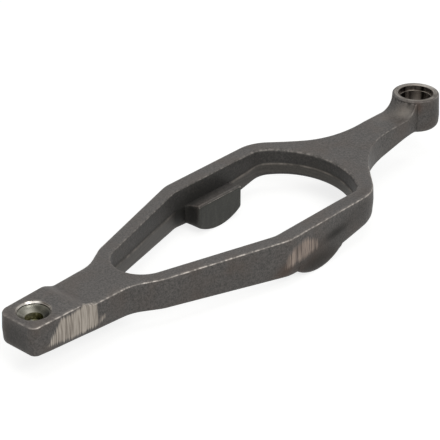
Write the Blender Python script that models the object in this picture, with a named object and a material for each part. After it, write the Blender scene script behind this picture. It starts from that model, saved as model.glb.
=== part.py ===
"""Clutch release fork of a heavy vehicle, drop forged in steel as one solid and then machined.

Units are metres and +Z is up. The fork lies along X, from the pivot block to the eye.
Every station along the fork is measured from the centre of the pivot pocket, and every height
from the flat top of the ring. The finished solid is then moved, so that the file's origin lies
under the middle of its bounding box, level with its lowest point.
"""

import math

import bmesh
import bpy
import numpy as np
from mathutils import Matrix

# Stations along the fork, from the centre of the pivot pocket
PIVOT_TO_EYE = 0.4000
PIVOT_TO_PADS = 0.2120
REAR_ARC_CENTRE_X = 0.0975
FAR_ARC_CENTRE_X = 0.2280
FLARE_START_X = 0.0673
FLARE_END_X = 0.0864
TAPER_END_X = 0.1802
RING_DEEPEST_X = 0.2200
SHOULDER_X = 0.2734

# Pivot block and neck
BLOCK_END_WALL = 0.0053
BLOCK_HALF_WIDTH = 0.0166
BLOCK_LEFT_CORNER_RADIUS = 0.0115
BLOCK_RIGHT_CORNER_RADIUS = 0.0055
BLOCK_RISE = 0.0040
BLOCK_STEP_X = 0.0225
BLOCK_STEP_LENGTH = 0.0125
BLOCK_DEPTH = 0.0175
BLOCK_FOOT_RADIUS = 0.0032
NECK_HALF_WIDTH = 0.0194
NECK_DEPTH = 0.0220
NECK_FLARE_RADIUS = 0.0300
FLARE_HALF_WIDTH = 0.0297
FLARE_TAPER_RADIUS = 0.0250

# Ring around the release bearing
RING_HALF_WIDTH = 0.0581
RING_CORNER_RADIUS = 0.0250
SHOULDER_RADIUS = 0.0310
SHOULDER_ANGLE = math.radians(44.0)
RING_DEPTH = 0.0315
RING_DEPTH_AT_FAR_ARC = 0.0193
OPENING_HALF_WIDTH = 0.0464
OPENING_CORNER_RADIUS = 0.0180
REAR_ARC_RADIUS = 0.0212
FAR_ARC_RADIUS = 0.0615
FAR_ARC_BLEND_RADIUS = 0.0150
TRIM_BAND_PROUD = 0.0005
TRIM_BAND_STEP = 0.0010

# Edges of the forging, as the dies round them
TOP_EDGE_RADIUS = 0.0012
BOTTOM_EDGE_RADIUS = 0.0024
OPENING_TOP_RADIUS = 0.0013
OPENING_BOTTOM_RADIUS = 0.0020

# Arm
ARM_ROOT_HALF_WIDTH = 0.0128
ARM_TIP_HALF_WIDTH = 0.0120
ARM_SWEEP_RADIUS = 0.0660
ARM_RISE = 0.0043
ARM_RISE_START_X = 0.2880
ARM_RISE_END_X = 0.3560
ARM_BEND_X = 0.3330
ARM_DEPTH_AT_BEND = 0.0182
ARM_DEPTH_AT_EYE = 0.0094

# Eye for the push rod
EYE_OUTER_RADIUS = 0.0179
EYE_RISE = 0.0152
EYE_DEPTH = 0.0114
EYE_FOOT_RADIUS = 0.0045
EYE_RIM_BREAK = 0.0006
EYE_SKIRT_RADIUS = 0.0115
EYE_BLEND_RADIUS = 0.0100
BORE_RADIUS = 0.0123
COUNTERBORE_RADIUS = 0.0134
COUNTERBORE_DEPTH = 0.0042
BORE_CHAMFER = 0.0007

# Ball seat for the pivot
POCKET_MOUTH_RADIUS = 0.0108
POCKET_CHAMFER = 0.0008
POCKET_SEAT_RADIUS = 0.0125
POCKET_HOLE_RADIUS = 0.0058
POCKET_HOLE_DEPTH = 0.0060
POCKET_HOLE_CONE = 0.0022

# Pads that press on the release bearing
PAD_GAP = 0.0664
PAD_LENGTH = 0.0450
PAD_TOP_DEPTH = 0.0118
PAD_TOP_FALL = 0.0024
PAD_EDGE_RADIUS = 0.0018
PAD_ROOT_RADIUS = 0.0050
PAD_ARC_RADIUS = 0.0410
PAD_ARC_DEPTH = 0.0360
PAD_HEEL_PROUD = 0.0003

# Draft that the dies need, and the bends of the underside
UPPER_DRAFT = math.radians(3.0)
LOWER_DRAFT = math.radians(3.0)
OPENING_DRAFT = math.radians(3.0)
UNDERSIDE_RADIUS = 0.2000

# Fineness of the curves, and how far tools run past or into what they meet
ARC_STEP = math.radians(7.5)
EDGE_STEP = math.radians(30.0)
ROUND_SEGMENTS = 48
CURVE_STEPS = 8
LAND_SHARES = (0.0, 0.45, 0.8, 1.0)
OVERRUN = 0.0100
OVERLAP = 0.0002
LEAST_SPACING = 0.0006
MERGE_DISTANCE = 0.000002

# Finish
STEEL_COLOUR = (0.115, 0.108, 0.103, 1.0)
STEEL_ROUGHNESS = 0.55
STEEL_METALLIC = 0.85
SMOOTH_ANGLE = math.radians(30.0)

BLOCK_END_X = -(POCKET_MOUTH_RADIUS + BLOCK_END_WALL)
EYE_NEAR_X = PIVOT_TO_EYE - EYE_OUTER_RADIUS
LEVEL_ABOVE = EYE_RISE + OVERRUN
LEVEL_BELOW = -(PAD_ARC_DEPTH + OVERRUN)


def ramp(x, start, length):
    """Smooth ramp from 0 to 1 over a length, level at both ends."""
    share = np.clip((x - start) / length, 0.0, 1.0)
    return share * share * (3.0 - 2.0 * share)


def level_top(x):
    """Top of the forging along its axis: the raised block, the ring's plane, the rising arm."""
    block = BLOCK_RISE * (1.0 - ramp(x, BLOCK_STEP_X, BLOCK_STEP_LENGTH))
    arm = ARM_RISE * ramp(x, ARM_RISE_START_X, ARM_RISE_END_X - ARM_RISE_START_X)
    return block + arm


def top_height(x, y):
    """Top of the forging anywhere: near the eye it sweeps up to the rim, turned about the eye."""
    inside = EYE_OUTER_RADIUS + EYE_SKIRT_RADIUS - np.hypot(x - PIVOT_TO_EYE, y)
    inside = np.clip(inside, 0.0, EYE_SKIRT_RADIUS)
    sweep = EYE_SKIRT_RADIUS - np.sqrt(EYE_SKIRT_RADIUS**2 - inside**2)
    return np.minimum(level_top(x) + sweep, EYE_RISE - 2 * EYE_RIM_BREAK)


def keel():
    """Underside seen from the side: deepest near the pads, rising to the eye, with eased bends."""
    corners = [
        (BLOCK_END_X, -BLOCK_DEPTH),
        (FLARE_START_X, -NECK_DEPTH),
        (RING_DEEPEST_X, -RING_DEPTH),
        (FAR_ARC_CENTRE_X + FAR_ARC_RADIUS, -RING_DEPTH_AT_FAR_ARC),
        (ARM_BEND_X, -ARM_DEPTH_AT_BEND),
        (EYE_NEAR_X, -ARM_DEPTH_AT_EYE),
        (PIVOT_TO_EYE, -ARM_DEPTH_AT_EYE),
    ]
    return rounded_path([(x, z, UNDERSIDE_RADIUS) for x, z in corners])


def bottom_height(x):
    """Underside at a station."""
    stations, heights = zip(*keel())
    return np.interp(x, stations, heights)


def parting_height(x):
    """Level at which the two dies met: halfway up the forging at each station."""
    return (level_top(x) + bottom_height(x)) / 2


def arc(centre, radius, start, end):
    """Points along an arc, both ends included."""
    count = max(2, math.ceil(abs(end - start) / ARC_STEP) + 1)
    angles = np.linspace(start, end, count)
    return [(centre[0] + radius * math.cos(a), centre[1] + radius * math.sin(a)) for a in angles]


def rounded_path(corners):
    """An open path through corners given as (x, y, radius), each but the ends rounded by an arc."""
    points = [corners[0][:2]]
    for before, corner, after in zip(corners, corners[1:], corners[2:]):
        here = np.array(corner[:2])
        back = np.array(before[:2]) - here
        ahead = np.array(after[:2]) - here
        room = 0.49 * min(np.linalg.norm(back), np.linalg.norm(ahead))
        back /= np.linalg.norm(back)
        ahead /= np.linalg.norm(ahead)
        half_turn = (math.pi - math.acos(np.clip(back @ ahead, -1.0, 1.0))) / 2
        cut = min(corner[2] * math.tan(half_turn), room)
        radius = cut / math.tan(half_turn)
        inward = (back + ahead) / np.linalg.norm(back + ahead)
        middle = here + inward * radius / math.cos(half_turn)
        first = here + back * cut - middle
        last = here + ahead * cut - middle
        start = math.atan2(first[1], first[0])
        turn = math.remainder(math.atan2(last[1], last[0]) - start, 2 * math.pi)
        points += arc(middle, radius, start, start + turn)
    points.append(corners[-1][:2])
    return points


def closed_loop(left, right):
    """A closed loop from two half outlines on the X axis, the right one turned over the axis."""
    return np.array(left + [(x, -y) for x, y in reversed(right[1:-1])])


def offset_loop(loop, distances):
    """The loop moved along its outward normals, by one distance for each point."""
    ahead = np.roll(loop, -1, axis=0) - loop
    back = loop - np.roll(loop, 1, axis=0)
    ahead /= np.linalg.norm(ahead, axis=1)[:, None]
    back /= np.linalg.norm(back, axis=1)[:, None]
    right = np.stack([ahead[:, 1] + back[:, 1], -ahead[:, 0] - back[:, 0]], axis=1)
    right /= np.linalg.norm(right, axis=1)[:, None]
    mitre = np.sqrt((1.0 + (ahead * back).sum(axis=1)) / 2)
    following = np.roll(loop, -1, axis=0)
    turning = np.sign((loop[:, 0] * following[:, 1] - loop[:, 1] * following[:, 0]).sum())
    return loop + right * turning * (distances / mitre)[:, None]


def at_level(points, level):
    """The points in plan, all at one level."""
    return np.column_stack([points[:, :2], np.full(len(points), level)])


def solid_from_form(name, form):
    """A closed solid from a mesh form, with its faces turned outwards."""
    bmesh.ops.recalc_face_normals(form, faces=form.faces)
    if form.calc_volume(signed=True) < 0.0:
        bmesh.ops.reverse_faces(form, faces=form.faces)
    mesh = bpy.data.meshes.new(name)
    form.to_mesh(mesh)
    form.free()
    solid = bpy.data.objects.new(name, mesh)
    bpy.context.scene.collection.objects.link(solid)
    return solid


def solid_from_loops(name, loops):
    """A closed solid skinned over a stack of loops with equal point counts, capped at both ends."""
    form = bmesh.new()
    rings = [[form.verts.new(point) for point in loop] for loop in loops]
    for lower, upper in zip(rings, rings[1:]):
        for i, j in zip(range(len(lower)), [*range(1, len(lower)), 0]):
            form.faces.new((lower[i], lower[j], upper[j], upper[i]))
    form.faces.new(rings[0])
    form.faces.new(rings[-1])
    return solid_from_form(name, form)


def prism(name, outline, place, start, end):
    """A flat outline extruded between two levels; place turns (u, v, level) into a point."""
    return solid_from_loops(name, [[place(u, v, w) for u, v in outline] for w in (start, end)])


def revolve(name, profile, centre_x):
    """A solid turned about a vertical axis, from a profile of (radius, height) off that axis."""
    angles = np.linspace(0.0, 2 * math.pi, ROUND_SEGMENTS, endpoint=False)
    loops = [
        [(centre_x + radius * math.cos(a), radius * math.sin(a), height) for a in angles]
        for radius, height in profile
    ]
    return solid_from_loops(name, loops)


def combine(target, operation, tool):
    """Unite, intersect or cut a solid with a tool, which is hidden from then on."""
    step = target.modifiers.new(f"{operation.lower()}_{tool.name}", "BOOLEAN")
    step.operation = operation
    step.solver = "EXACT"
    step.object = tool
    tool.hide_render = True
    tool.display_type = "WIRE"


def taper_angle():
    """Angle in plan between the ring's tapered sides and the fork's axis."""
    return math.atan2(RING_HALF_WIDTH - FLARE_HALF_WIDTH, TAPER_END_X - FLARE_END_X)


def outer_half_outline(corner_radius):
    """Half of the plan outline at the ring's top plane, from the block's end to inside the eye."""
    shoulder_length = (RING_HALF_WIDTH - ARM_ROOT_HALF_WIDTH) / math.tan(SHOULDER_ANGLE)
    reach = EYE_OUTER_RADIUS - OVERLAP + EYE_BLEND_RADIUS
    blend_y = ARM_TIP_HALF_WIDTH + EYE_BLEND_RADIUS
    blend_x = PIVOT_TO_EYE - math.sqrt(reach**2 - blend_y**2)
    touch = math.atan2(-blend_y, PIVOT_TO_EYE - blend_x)
    sides = rounded_path(
        [
            (BLOCK_END_X, 0.0, 0.0),
            (BLOCK_END_X, BLOCK_HALF_WIDTH, corner_radius),
            (FLARE_START_X, NECK_HALF_WIDTH, NECK_FLARE_RADIUS),
            (FLARE_END_X, FLARE_HALF_WIDTH, FLARE_TAPER_RADIUS),
            (TAPER_END_X, RING_HALF_WIDTH, RING_CORNER_RADIUS),
            (SHOULDER_X, RING_HALF_WIDTH, SHOULDER_RADIUS),
            (SHOULDER_X + shoulder_length, ARM_ROOT_HALF_WIDTH, ARM_SWEEP_RADIUS),
            (blend_x, ARM_TIP_HALF_WIDTH, 0.0),
        ]
    )
    blend = arc((blend_x, blend_y), EYE_BLEND_RADIUS, -math.pi / 2, touch)
    return with_stations(sides + blend[1:] + [(PIVOT_TO_EYE, blend[-1][1])])


def with_stations(outline):
    """The outline with a point added at each station where the top or the underside bends."""
    step = np.linspace(BLOCK_STEP_X, BLOCK_STEP_X + BLOCK_STEP_LENGTH, CURVE_STEPS)
    rise = np.linspace(ARM_RISE_START_X, ARM_RISE_END_X, CURVE_STEPS)
    sweep = np.linspace(EYE_NEAR_X - EYE_SKIRT_RADIUS, EYE_NEAR_X, CURVE_STEPS)
    bends = [x for x, _ in keel()[1:-1]]
    stations, widths = np.array(outline[1:]).T
    added = [x for x in [*step, *rise, *sweep, *bends] if np.abs(stations - x).min() > LEAST_SPACING]
    points = list(outline) + [(x, float(np.interp(x, stations, widths))) for x in sorted(added)]
    return points[:1] + sorted(points[1:], key=lambda point: point[0])


def opening_half_outline():
    """Half of the opening's plan outline: rear arc, tapered side, parallel side, far arc."""
    angle = taper_angle()
    rear = arc((REAR_ARC_CENTRE_X, 0.0), REAR_ARC_RADIUS, math.pi, math.pi / 2 + angle)
    taper_run = (OPENING_HALF_WIDTH * math.cos(angle) - REAR_ARC_RADIUS) / math.sin(angle)
    blend_y = OPENING_HALF_WIDTH - FAR_ARC_BLEND_RADIUS
    reach = FAR_ARC_RADIUS - FAR_ARC_BLEND_RADIUS
    blend_run = math.sqrt(reach**2 - blend_y**2)
    blend_x = FAR_ARC_CENTRE_X + blend_run
    touch = math.atan2(blend_y, blend_run)
    sides = rounded_path(
        [
            (*rear[-1], 0.0),
            (REAR_ARC_CENTRE_X + taper_run, OPENING_HALF_WIDTH, OPENING_CORNER_RADIUS),
            (blend_x, OPENING_HALF_WIDTH, 0.0),
        ]
    )
    blend = arc((blend_x, blend_y), FAR_ARC_BLEND_RADIUS, math.pi / 2, touch)
    far = arc((FAR_ARC_CENTRE_X, 0.0), FAR_ARC_RADIUS, touch, 0.0)
    return rear + sides[1:-1] + blend + far[1:]


def edge_angles():
    """Angles through a quarter circle, at which the edges are rounded."""
    return np.linspace(0.0, math.pi / 2, math.ceil(math.pi / 2 / EDGE_STEP) + 1)


def foot_radius(x):
    """Radius of the bottom edge at a station: largest at the block's end."""
    extra = (BLOCK_FOOT_RADIUS - BOTTOM_EDGE_RADIUS) * (1.0 - ramp(x, BLOCK_END_X, BLOCK_HALF_WIDTH))
    return BOTTOM_EDGE_RADIUS + extra


def wall_growth(height, parting):
    """How far the outer wall stands out from its plan outline: most at the parting, less away."""
    above = -np.maximum(height, parting) * math.tan(UPPER_DRAFT)
    below = np.maximum(parting - height, 0.0) * math.tan(LOWER_DRAFT)
    return above - below


def middle_stations(plan, start):
    """Where each cross-section starts in the middle plane: fanned out over the block, then level."""
    stations = plan[:, 0].copy()
    last = int(np.argmax(stations >= BLOCK_STEP_X))
    stations[: last + 1] = np.linspace(start, stations[last], last + 1)
    return stations


def skin_sections(corner_radius):
    """Cross-sections of one half of the forging, over the top, down the wall and underneath."""
    outline = outer_half_outline(corner_radius)
    plan = np.array(outline)
    loop = closed_loop(outline + [(PIVOT_TO_EYE, 0.0)], outline + [(PIVOT_TO_EYE, 0.0)])
    normals = (offset_loop(loop, np.ones(len(loop))) - loop)[: len(plan)]
    normals[-1] = (0.0, 1.0)
    parting = parting_height(plan[:, 0])
    turns = edge_angles()
    foot_round = foot_radius(plan[:, 0])

    def moved(growth):
        return plan + normals * growth[:, None]

    edge_top = top_height(*plan.T) - TOP_EDGE_RADIUS
    edge_bottom = bottom_height(plan[:, 0]) + foot_round
    rim = moved(wall_growth(edge_top, parting) - TOP_EDGE_RADIUS)
    foot = moved(wall_growth(edge_bottom, parting) - foot_round)
    edge_top = top_height(*rim.T) - TOP_EDGE_RADIUS
    edge_bottom = bottom_height(foot[:, 0]) + foot_round
    at_top = wall_growth(edge_top, parting) - TOP_EDGE_RADIUS
    at_bottom = wall_growth(edge_bottom, parting) - foot_round
    wall = [
        (at_top + TOP_EDGE_RADIUS * math.sin(turn), edge_top + TOP_EDGE_RADIUS * math.cos(turn))
        for turn in turns[1:]
    ]
    wall.append((wall_growth(parting, parting), parting))
    wall += [
        (at_bottom + foot_round * math.cos(turn), edge_bottom - foot_round * math.sin(turn))
        for turn in turns[:-1]
    ]
    over = np.column_stack([middle_stations(plan, rim[0, 0]), np.zeros(len(plan))])
    under = np.column_stack([middle_stations(plan, foot[0, 0]), np.zeros(len(plan))])
    top = [over + (rim - over) * share for share in LAND_SHARES]
    bottom = [foot + (under - foot) * share for share in LAND_SHARES]
    rows = [np.column_stack([flat, top_height(*flat.T)]) for flat in top]
    rows += [np.column_stack([moved(growth), height]) for growth, height in wall]
    rows += [np.column_stack([flat, bottom_height(flat[:, 0])]) for flat in bottom]
    return np.stack(rows, axis=1)


def forged_blank():
    """The forging before machining and without its opening: both halves' sections, skinned."""
    form = bmesh.new()
    for side, corner_radius in ((1.0, BLOCK_LEFT_CORNER_RADIUS), (-1.0, BLOCK_RIGHT_CORNER_RADIUS)):
        sections = skin_sections(corner_radius) * (1.0, side, 1.0)
        rows = [[form.verts.new(point) for point in section] for section in sections]
        for near, far in zip(rows, rows[1:]):
            for i in range(len(near) - 1):
                form.faces.new((near[i], far[i], far[i + 1], near[i + 1]))
    bmesh.ops.remove_doubles(form, verts=form.verts, dist=MERGE_DISTANCE)
    bmesh.ops.holes_fill(form, edges=[edge for edge in form.edges if edge.is_boundary], sides=0)
    return solid_from_form("clutch_fork", form)


def opening_cutter():
    """The space inside the ring: drafted above the parting, with the trimmed web proud below.

    At the top and at the underside it flares along the rounded edge, and on past the surface in
    line with the last facet.
    """
    half = opening_half_outline()
    loop = closed_loop(half, half)
    parting = parting_height(loop[:, 0])
    at_parting = parting * math.tan(OPENING_DRAFT)
    at_band = at_parting - TRIM_BAND_PROUD
    at_top = np.full(len(loop), -OPENING_TOP_RADIUS * math.tan(OPENING_DRAFT))
    flare = [(1.0 - math.cos(turn), 1.0 - math.sin(turn)) for turn in edge_angles()]
    flare[-1] = (2.0 * flare[-1][0] - flare[-2][0], 2.0 * flare[-1][1] - flare[-2][1])
    below = []
    above = []
    for out, back in flare:
        plan = offset_loop(loop, at_band + out * OPENING_BOTTOM_RADIUS)
        below.append(np.column_stack([plan, bottom_height(plan[:, 0]) + back * OPENING_BOTTOM_RADIUS]))
        plan = offset_loop(loop, at_top + out * OPENING_TOP_RADIUS)
        above.append(at_level(plan, -back * OPENING_TOP_RADIUS))
    web = [
        np.column_stack([offset_loop(loop, at_band), parting - TRIM_BAND_STEP]),
        np.column_stack([offset_loop(loop, at_parting), parting]),
    ]
    ends = (at_level(below[-1], LEVEL_BELOW), at_level(above[-1], LEVEL_ABOVE))
    return solid_from_loops("opening_cutter", [ends[0], *reversed(below), *web, *above, ends[1]])


def eye_boss():
    """The round eye, with drafted wall, rounded foot and broken rim."""
    parting = parting_height(EYE_NEAR_X)
    parting_radius = EYE_OUTER_RADIUS + (EYE_RISE - parting) * math.tan(UPPER_DRAFT)
    foot_height = -EYE_DEPTH + EYE_FOOT_RADIUS
    foot_radius = parting_radius - (parting - foot_height) * math.tan(LOWER_DRAFT)
    foot_centre = (foot_radius - EYE_FOOT_RADIUS, foot_height)
    profile = arc(foot_centre, EYE_FOOT_RADIUS, -math.pi / 2, 0.0)
    profile.append((parting_radius, parting))
    profile.append((EYE_OUTER_RADIUS, EYE_RISE - EYE_RIM_BREAK))
    profile.append((EYE_OUTER_RADIUS - EYE_RIM_BREAK, EYE_RISE))
    return revolve("eye_boss", profile, PIVOT_TO_EYE)


def bore_cutter():
    """The eye's through bore with its counterbore, and a chamfer at each mouth."""
    flare = BORE_CHAMFER + OVERRUN
    profile = [
        (BORE_RADIUS + flare, -EYE_DEPTH - OVERRUN),
        (BORE_RADIUS, -EYE_DEPTH + BORE_CHAMFER),
        (BORE_RADIUS, EYE_RISE - COUNTERBORE_DEPTH),
        (COUNTERBORE_RADIUS, EYE_RISE - COUNTERBORE_DEPTH),
        (COUNTERBORE_RADIUS, EYE_RISE - BORE_CHAMFER),
        (COUNTERBORE_RADIUS + flare, EYE_RISE + OVERRUN),
    ]
    return revolve("bore_cutter", profile, PIVOT_TO_EYE)


def pocket_cutter():
    """The block's ball seat: chamfered mouth, spherical seat, and a blind hole under it."""
    mouth_height = BLOCK_RISE - POCKET_CHAMFER
    ball_height = mouth_height + math.sqrt(POCKET_SEAT_RADIUS**2 - POCKET_MOUTH_RADIUS**2)
    seat_start = -math.acos(POCKET_HOLE_RADIUS / POCKET_SEAT_RADIUS)
    seat_end = -math.acos(POCKET_MOUTH_RADIUS / POCKET_SEAT_RADIUS)
    profile = [
        (POCKET_HOLE_RADIUS - POCKET_HOLE_CONE, -POCKET_HOLE_DEPTH - POCKET_HOLE_CONE),
        (POCKET_HOLE_RADIUS, -POCKET_HOLE_DEPTH),
        *arc((0.0, ball_height), POCKET_SEAT_RADIUS, seat_start, seat_end),
        (POCKET_MOUTH_RADIUS + POCKET_CHAMFER + OVERRUN, BLOCK_RISE + OVERRUN),
    ]
    return revolve("pocket_cutter", profile, 0.0)


def pad_face():
    """A pad seen along Y: flat ends with room for their root fillets, and a round underside."""
    reach = PAD_LENGTH / 2 + PAD_ROOT_RADIUS
    centre = (PIVOT_TO_PADS, PAD_ARC_RADIUS - PAD_ARC_DEPTH)
    end = math.acos(min(reach / PAD_ARC_RADIUS, 1.0))
    corners = [(PIVOT_TO_PADS + reach, 0.0), (PIVOT_TO_PADS - reach, 0.0)]
    return arc(centre, PAD_ARC_RADIUS, end - math.pi, -end) + corners


def pad_plan():
    """A pad seen from above: straight from its face, flaring into the ring's wall at its root."""
    rear = PIVOT_TO_PADS - PAD_LENGTH / 2
    front = PIVOT_TO_PADS + PAD_LENGTH / 2
    root_y = OPENING_HALF_WIDTH - PAD_ROOT_RADIUS
    back_y = RING_HALF_WIDTH + OVERRUN
    rear_root = arc((rear - PAD_ROOT_RADIUS, root_y), PAD_ROOT_RADIUS, math.pi / 2, 0.0)
    front_root = arc((front + PAD_ROOT_RADIUS, root_y), PAD_ROOT_RADIUS, math.pi, math.pi / 2)
    face = [(rear, PAD_GAP / 2), (front, PAD_GAP / 2)]
    heel = [(front + PAD_ROOT_RADIUS, back_y), (rear - PAD_ROOT_RADIUS, back_y)]
    return rear_root + face + front_root + heel


def pad_section():
    """A pad seen along X: rounded inner edge, top falling to the ring, heel just proud of it."""
    face_y = PAD_GAP / 2
    wall_depth = PAD_TOP_DEPTH + PAD_TOP_FALL
    inside_y = (OPENING_HALF_WIDTH + RING_HALF_WIDTH) / 2
    parting = parting_height(PIVOT_TO_PADS)
    heel_y = RING_HALF_WIDTH - parting * math.tan(UPPER_DRAFT) - OVERLAP
    foot_y = heel_y + OVERLAP + PAD_HEEL_PROUD
    edge = (face_y + PAD_EDGE_RADIUS, -PAD_TOP_DEPTH - PAD_EDGE_RADIUS)
    return [
        (face_y, LEVEL_BELOW),
        *arc(edge, PAD_EDGE_RADIUS, math.pi, math.pi / 2),
        (OPENING_HALF_WIDTH, -wall_depth),
        (inside_y, -wall_depth),
        (inside_y, parting - OVERLAP),
        (heel_y, parting - OVERLAP),
        (foot_y, -PAD_ARC_DEPTH),
        (foot_y, LEVEL_BELOW),
    ]


def pad(side):
    """One bearing pad with its heel, on the left side for 1 and on the right side for -1."""
    name = "pad_left" if side > 0 else "pad_right"
    back_y = RING_HALF_WIDTH + OVERRUN
    reach = PAD_LENGTH / 2 + PAD_ROOT_RADIUS + OVERRUN
    first, last = PIVOT_TO_PADS - reach, PIVOT_TO_PADS + reach
    below, above = LEVEL_BELOW - OVERRUN, LEVEL_ABOVE
    body = prism(name, pad_face(), lambda u, v, w: (u, side * w, v), 0.0, back_y)
    plan = prism(f"{name}_plan", pad_plan(), lambda u, v, w: (u, side * v, w), below, above)
    section = prism(f"{name}_section", pad_section(), lambda u, v, w: (w, side * u, v), first, last)
    combine(body, "INTERSECT", plan)
    combine(body, "INTERSECT", section)
    return body


def settle(solid):
    """Fix the modifiers in the mesh, drop the tools and put the origin under the solid's middle."""
    graph = bpy.context.evaluated_depsgraph_get()
    mesh = bpy.data.meshes.new_from_object(solid.evaluated_get(graph))
    points = np.array([vertex.co for vertex in mesh.vertices])
    low, high = points.min(axis=0), points.max(axis=0)
    middle = (low + high) / 2
    mesh.transform(Matrix.Translation((-middle[0], -middle[1], -low[2])))
    mesh.shade_smooth()
    mesh.set_sharp_from_angle(angle=SMOOTH_ANGLE)
    solid.modifiers.clear()
    solid.data = mesh
    for other in [o for o in bpy.data.objects if o is not solid]:
        bpy.data.objects.remove(other)


def forged_steel():
    """Bare forged steel, dark grey and half dull."""
    steel = bpy.data.materials.new("forged_steel")
    steel.use_nodes = True
    shader = steel.node_tree.nodes["Principled BSDF"]
    shader.inputs["Base Color"].default_value = STEEL_COLOUR
    shader.inputs["Roughness"].default_value = STEEL_ROUGHNESS
    shader.inputs["Metallic"].default_value = STEEL_METALLIC
    return steel


def main():
    """Forge the blank, join what stands on it, machine it, and finish its edges."""
    for leftover in list(bpy.data.objects):
        bpy.data.objects.remove(leftover)
    fork = forged_blank()
    combine(fork, "DIFFERENCE", opening_cutter())
    combine(fork, "UNION", eye_boss())
    for side in (1, -1):
        combine(fork, "UNION", pad(side))
    combine(fork, "DIFFERENCE", bore_cutter())
    combine(fork, "DIFFERENCE", pocket_cutter())
    settle(fork)
    fork.data.materials.clear()
    fork.data.materials.append(forged_steel())


main()
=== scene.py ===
"""Looks of a forged clutch release fork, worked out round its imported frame.

The fork is one forging, so it is dressed as one piece: a drop-forged blank with an eye and two
bearing pads, machined at the eye and at the ball seat. Sizes in the classes are in millimetres in
the forging's own frame: X runs along the fork from the ball seat's centre, +Y is its left side and
Z is measured from the ring's flat top. Placement turns them into the frame's metres.
"""

from __future__ import annotations

import logging
import math
from collections.abc import Sequence
from dataclasses import dataclass, field
from enum import Enum

import bmesh
import bpy
import numpy as np
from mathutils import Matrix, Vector


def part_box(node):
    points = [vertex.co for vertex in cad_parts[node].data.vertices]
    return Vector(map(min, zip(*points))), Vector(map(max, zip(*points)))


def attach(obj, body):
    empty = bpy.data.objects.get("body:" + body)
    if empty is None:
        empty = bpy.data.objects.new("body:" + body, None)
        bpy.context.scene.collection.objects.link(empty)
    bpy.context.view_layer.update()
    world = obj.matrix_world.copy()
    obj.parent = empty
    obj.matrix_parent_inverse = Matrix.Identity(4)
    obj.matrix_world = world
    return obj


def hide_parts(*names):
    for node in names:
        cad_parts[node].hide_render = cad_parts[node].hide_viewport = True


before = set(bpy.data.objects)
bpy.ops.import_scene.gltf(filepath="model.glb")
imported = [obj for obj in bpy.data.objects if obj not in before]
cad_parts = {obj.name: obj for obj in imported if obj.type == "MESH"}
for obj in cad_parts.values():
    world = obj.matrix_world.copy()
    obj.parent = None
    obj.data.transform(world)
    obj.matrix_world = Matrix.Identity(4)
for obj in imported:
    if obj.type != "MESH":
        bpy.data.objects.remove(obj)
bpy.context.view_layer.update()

Array = np.ndarray
Point = tuple[float, float, float]
Piece = bpy.types.Object
Mesh = bpy.types.Mesh
Tree = bpy.types.NodeTree
Node = bpy.types.Node

LOG = logging.getLogger("clutch_fork")
NODE = "clutch_fork"
BODY = "root"

# A millimetre in metres, and a quarter turn
MM = 0.001
QUARTER = math.pi / 2

# Welding distance and outline step in millimetres, step of an arc, most of a side that a corner takes
WELD = 0.01
PLAN_STEP = 0.4
ARC_STEP = math.radians(3.0)
MOST_CUT = 0.49

# Sizes in millimetres that more than one part of the forging takes, and the draft of its walls
EYE_X = 400.0
EYE_RADIUS = 17.9
EYE_RISE = 15.2
PADS_X = 212.0
BLOCK_RISE = 4.0
OPENING_HALF_WIDTH = 46.4
DRAFT = math.tan(math.radians(3.0))

# Attributes of the surface that the finishes read: a bright edge line of scuffed metal and painted highlight,
# painted shade in creases and hollows, ground patches, painted shade inside the ring, the patches' tint,
# brown stains and painted highlights
WEAR_SHEEN = "edge_wear_and_sheen"
CREASE_SHADE = "painted_crease_shade"
GROUND = "ground_inset"
INNER_SHADE = "painted_inner_shade"
TINT = "ground_tint"
SOIL = "brown_soil"
HIGHLIGHT_MASK = "painted_highlight_mask"


class Zone(Enum):
    """Zones of the surface, each with the number of its material on the piece."""

    FORGED = 0
    SHEARED = 1
    FACED = 2
    TURNED = 3
    SEAT = 4
    RELIEF = 5
    BORED = 6


def arc(centre: Sequence[float], radius: float, start: float, end: float) -> Array:
    """Points on a circle: centre plus radius times the cosine and sine of an even run of angles.

    Args:
        centre: the circle's middle.
        radius: its radius.
        start: first angle in radians.
        end: last angle in radians.

    Returns:
        The points, one row each, both ends included.
    """
    count = max(2, math.ceil(abs(end - start) / ARC_STEP) + 1)
    angle = np.linspace(start, end, count)
    return np.column_stack([centre[0] + radius * np.cos(angle), centre[1] + radius * np.sin(angle)])


def rounded_path(corners: Sequence[Point]) -> Array:
    """Path through corners, each replaced by the arc that touches both of its sides.

    The arc starts and ends at radius times the tangent of half the turn before and after the
    corner, and its middle lies on the corner's bisector.

    Args:
        corners: x, y and radius of each corner; the ends are kept as they are.

    Returns:
        The path's points, one row each.
    """
    parts = [np.array([corners[0][:2]])]
    for before, corner, after in zip(corners, corners[1:], corners[2:]):
        here = np.array(corner[:2])
        back = np.array(before[:2]) - here
        ahead = np.array(after[:2]) - here
        room = MOST_CUT * min(np.linalg.norm(back), np.linalg.norm(ahead))
        back /= np.linalg.norm(back)
        ahead /= np.linalg.norm(ahead)
        half_turn = (math.pi - math.acos(np.clip(back @ ahead, -1.0, 1.0))) / 2
        cut = min(corner[2] * math.tan(half_turn), room)
        radius = cut / math.tan(half_turn)
        inward = (back + ahead) / np.linalg.norm(back + ahead)
        middle = here + inward * radius / math.cos(half_turn)
        first = here + back * cut - middle
        last = here + ahead * cut - middle
        start = math.atan2(first[1], first[0])
        turn = math.remainder(math.atan2(last[1], last[0]) - start, 2 * math.pi)
        parts.append(arc(middle, radius, start, start + turn))
    return np.vstack([*parts, [corners[-1][:2]]])


def lengths_along(points: Array) -> Array:
    """Running length at each point of a path, from zero at its first point."""
    steps = np.linalg.norm(np.diff(points, axis=0), axis=1)
    return np.concatenate([[0.0], np.cumsum(steps)])


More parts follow.
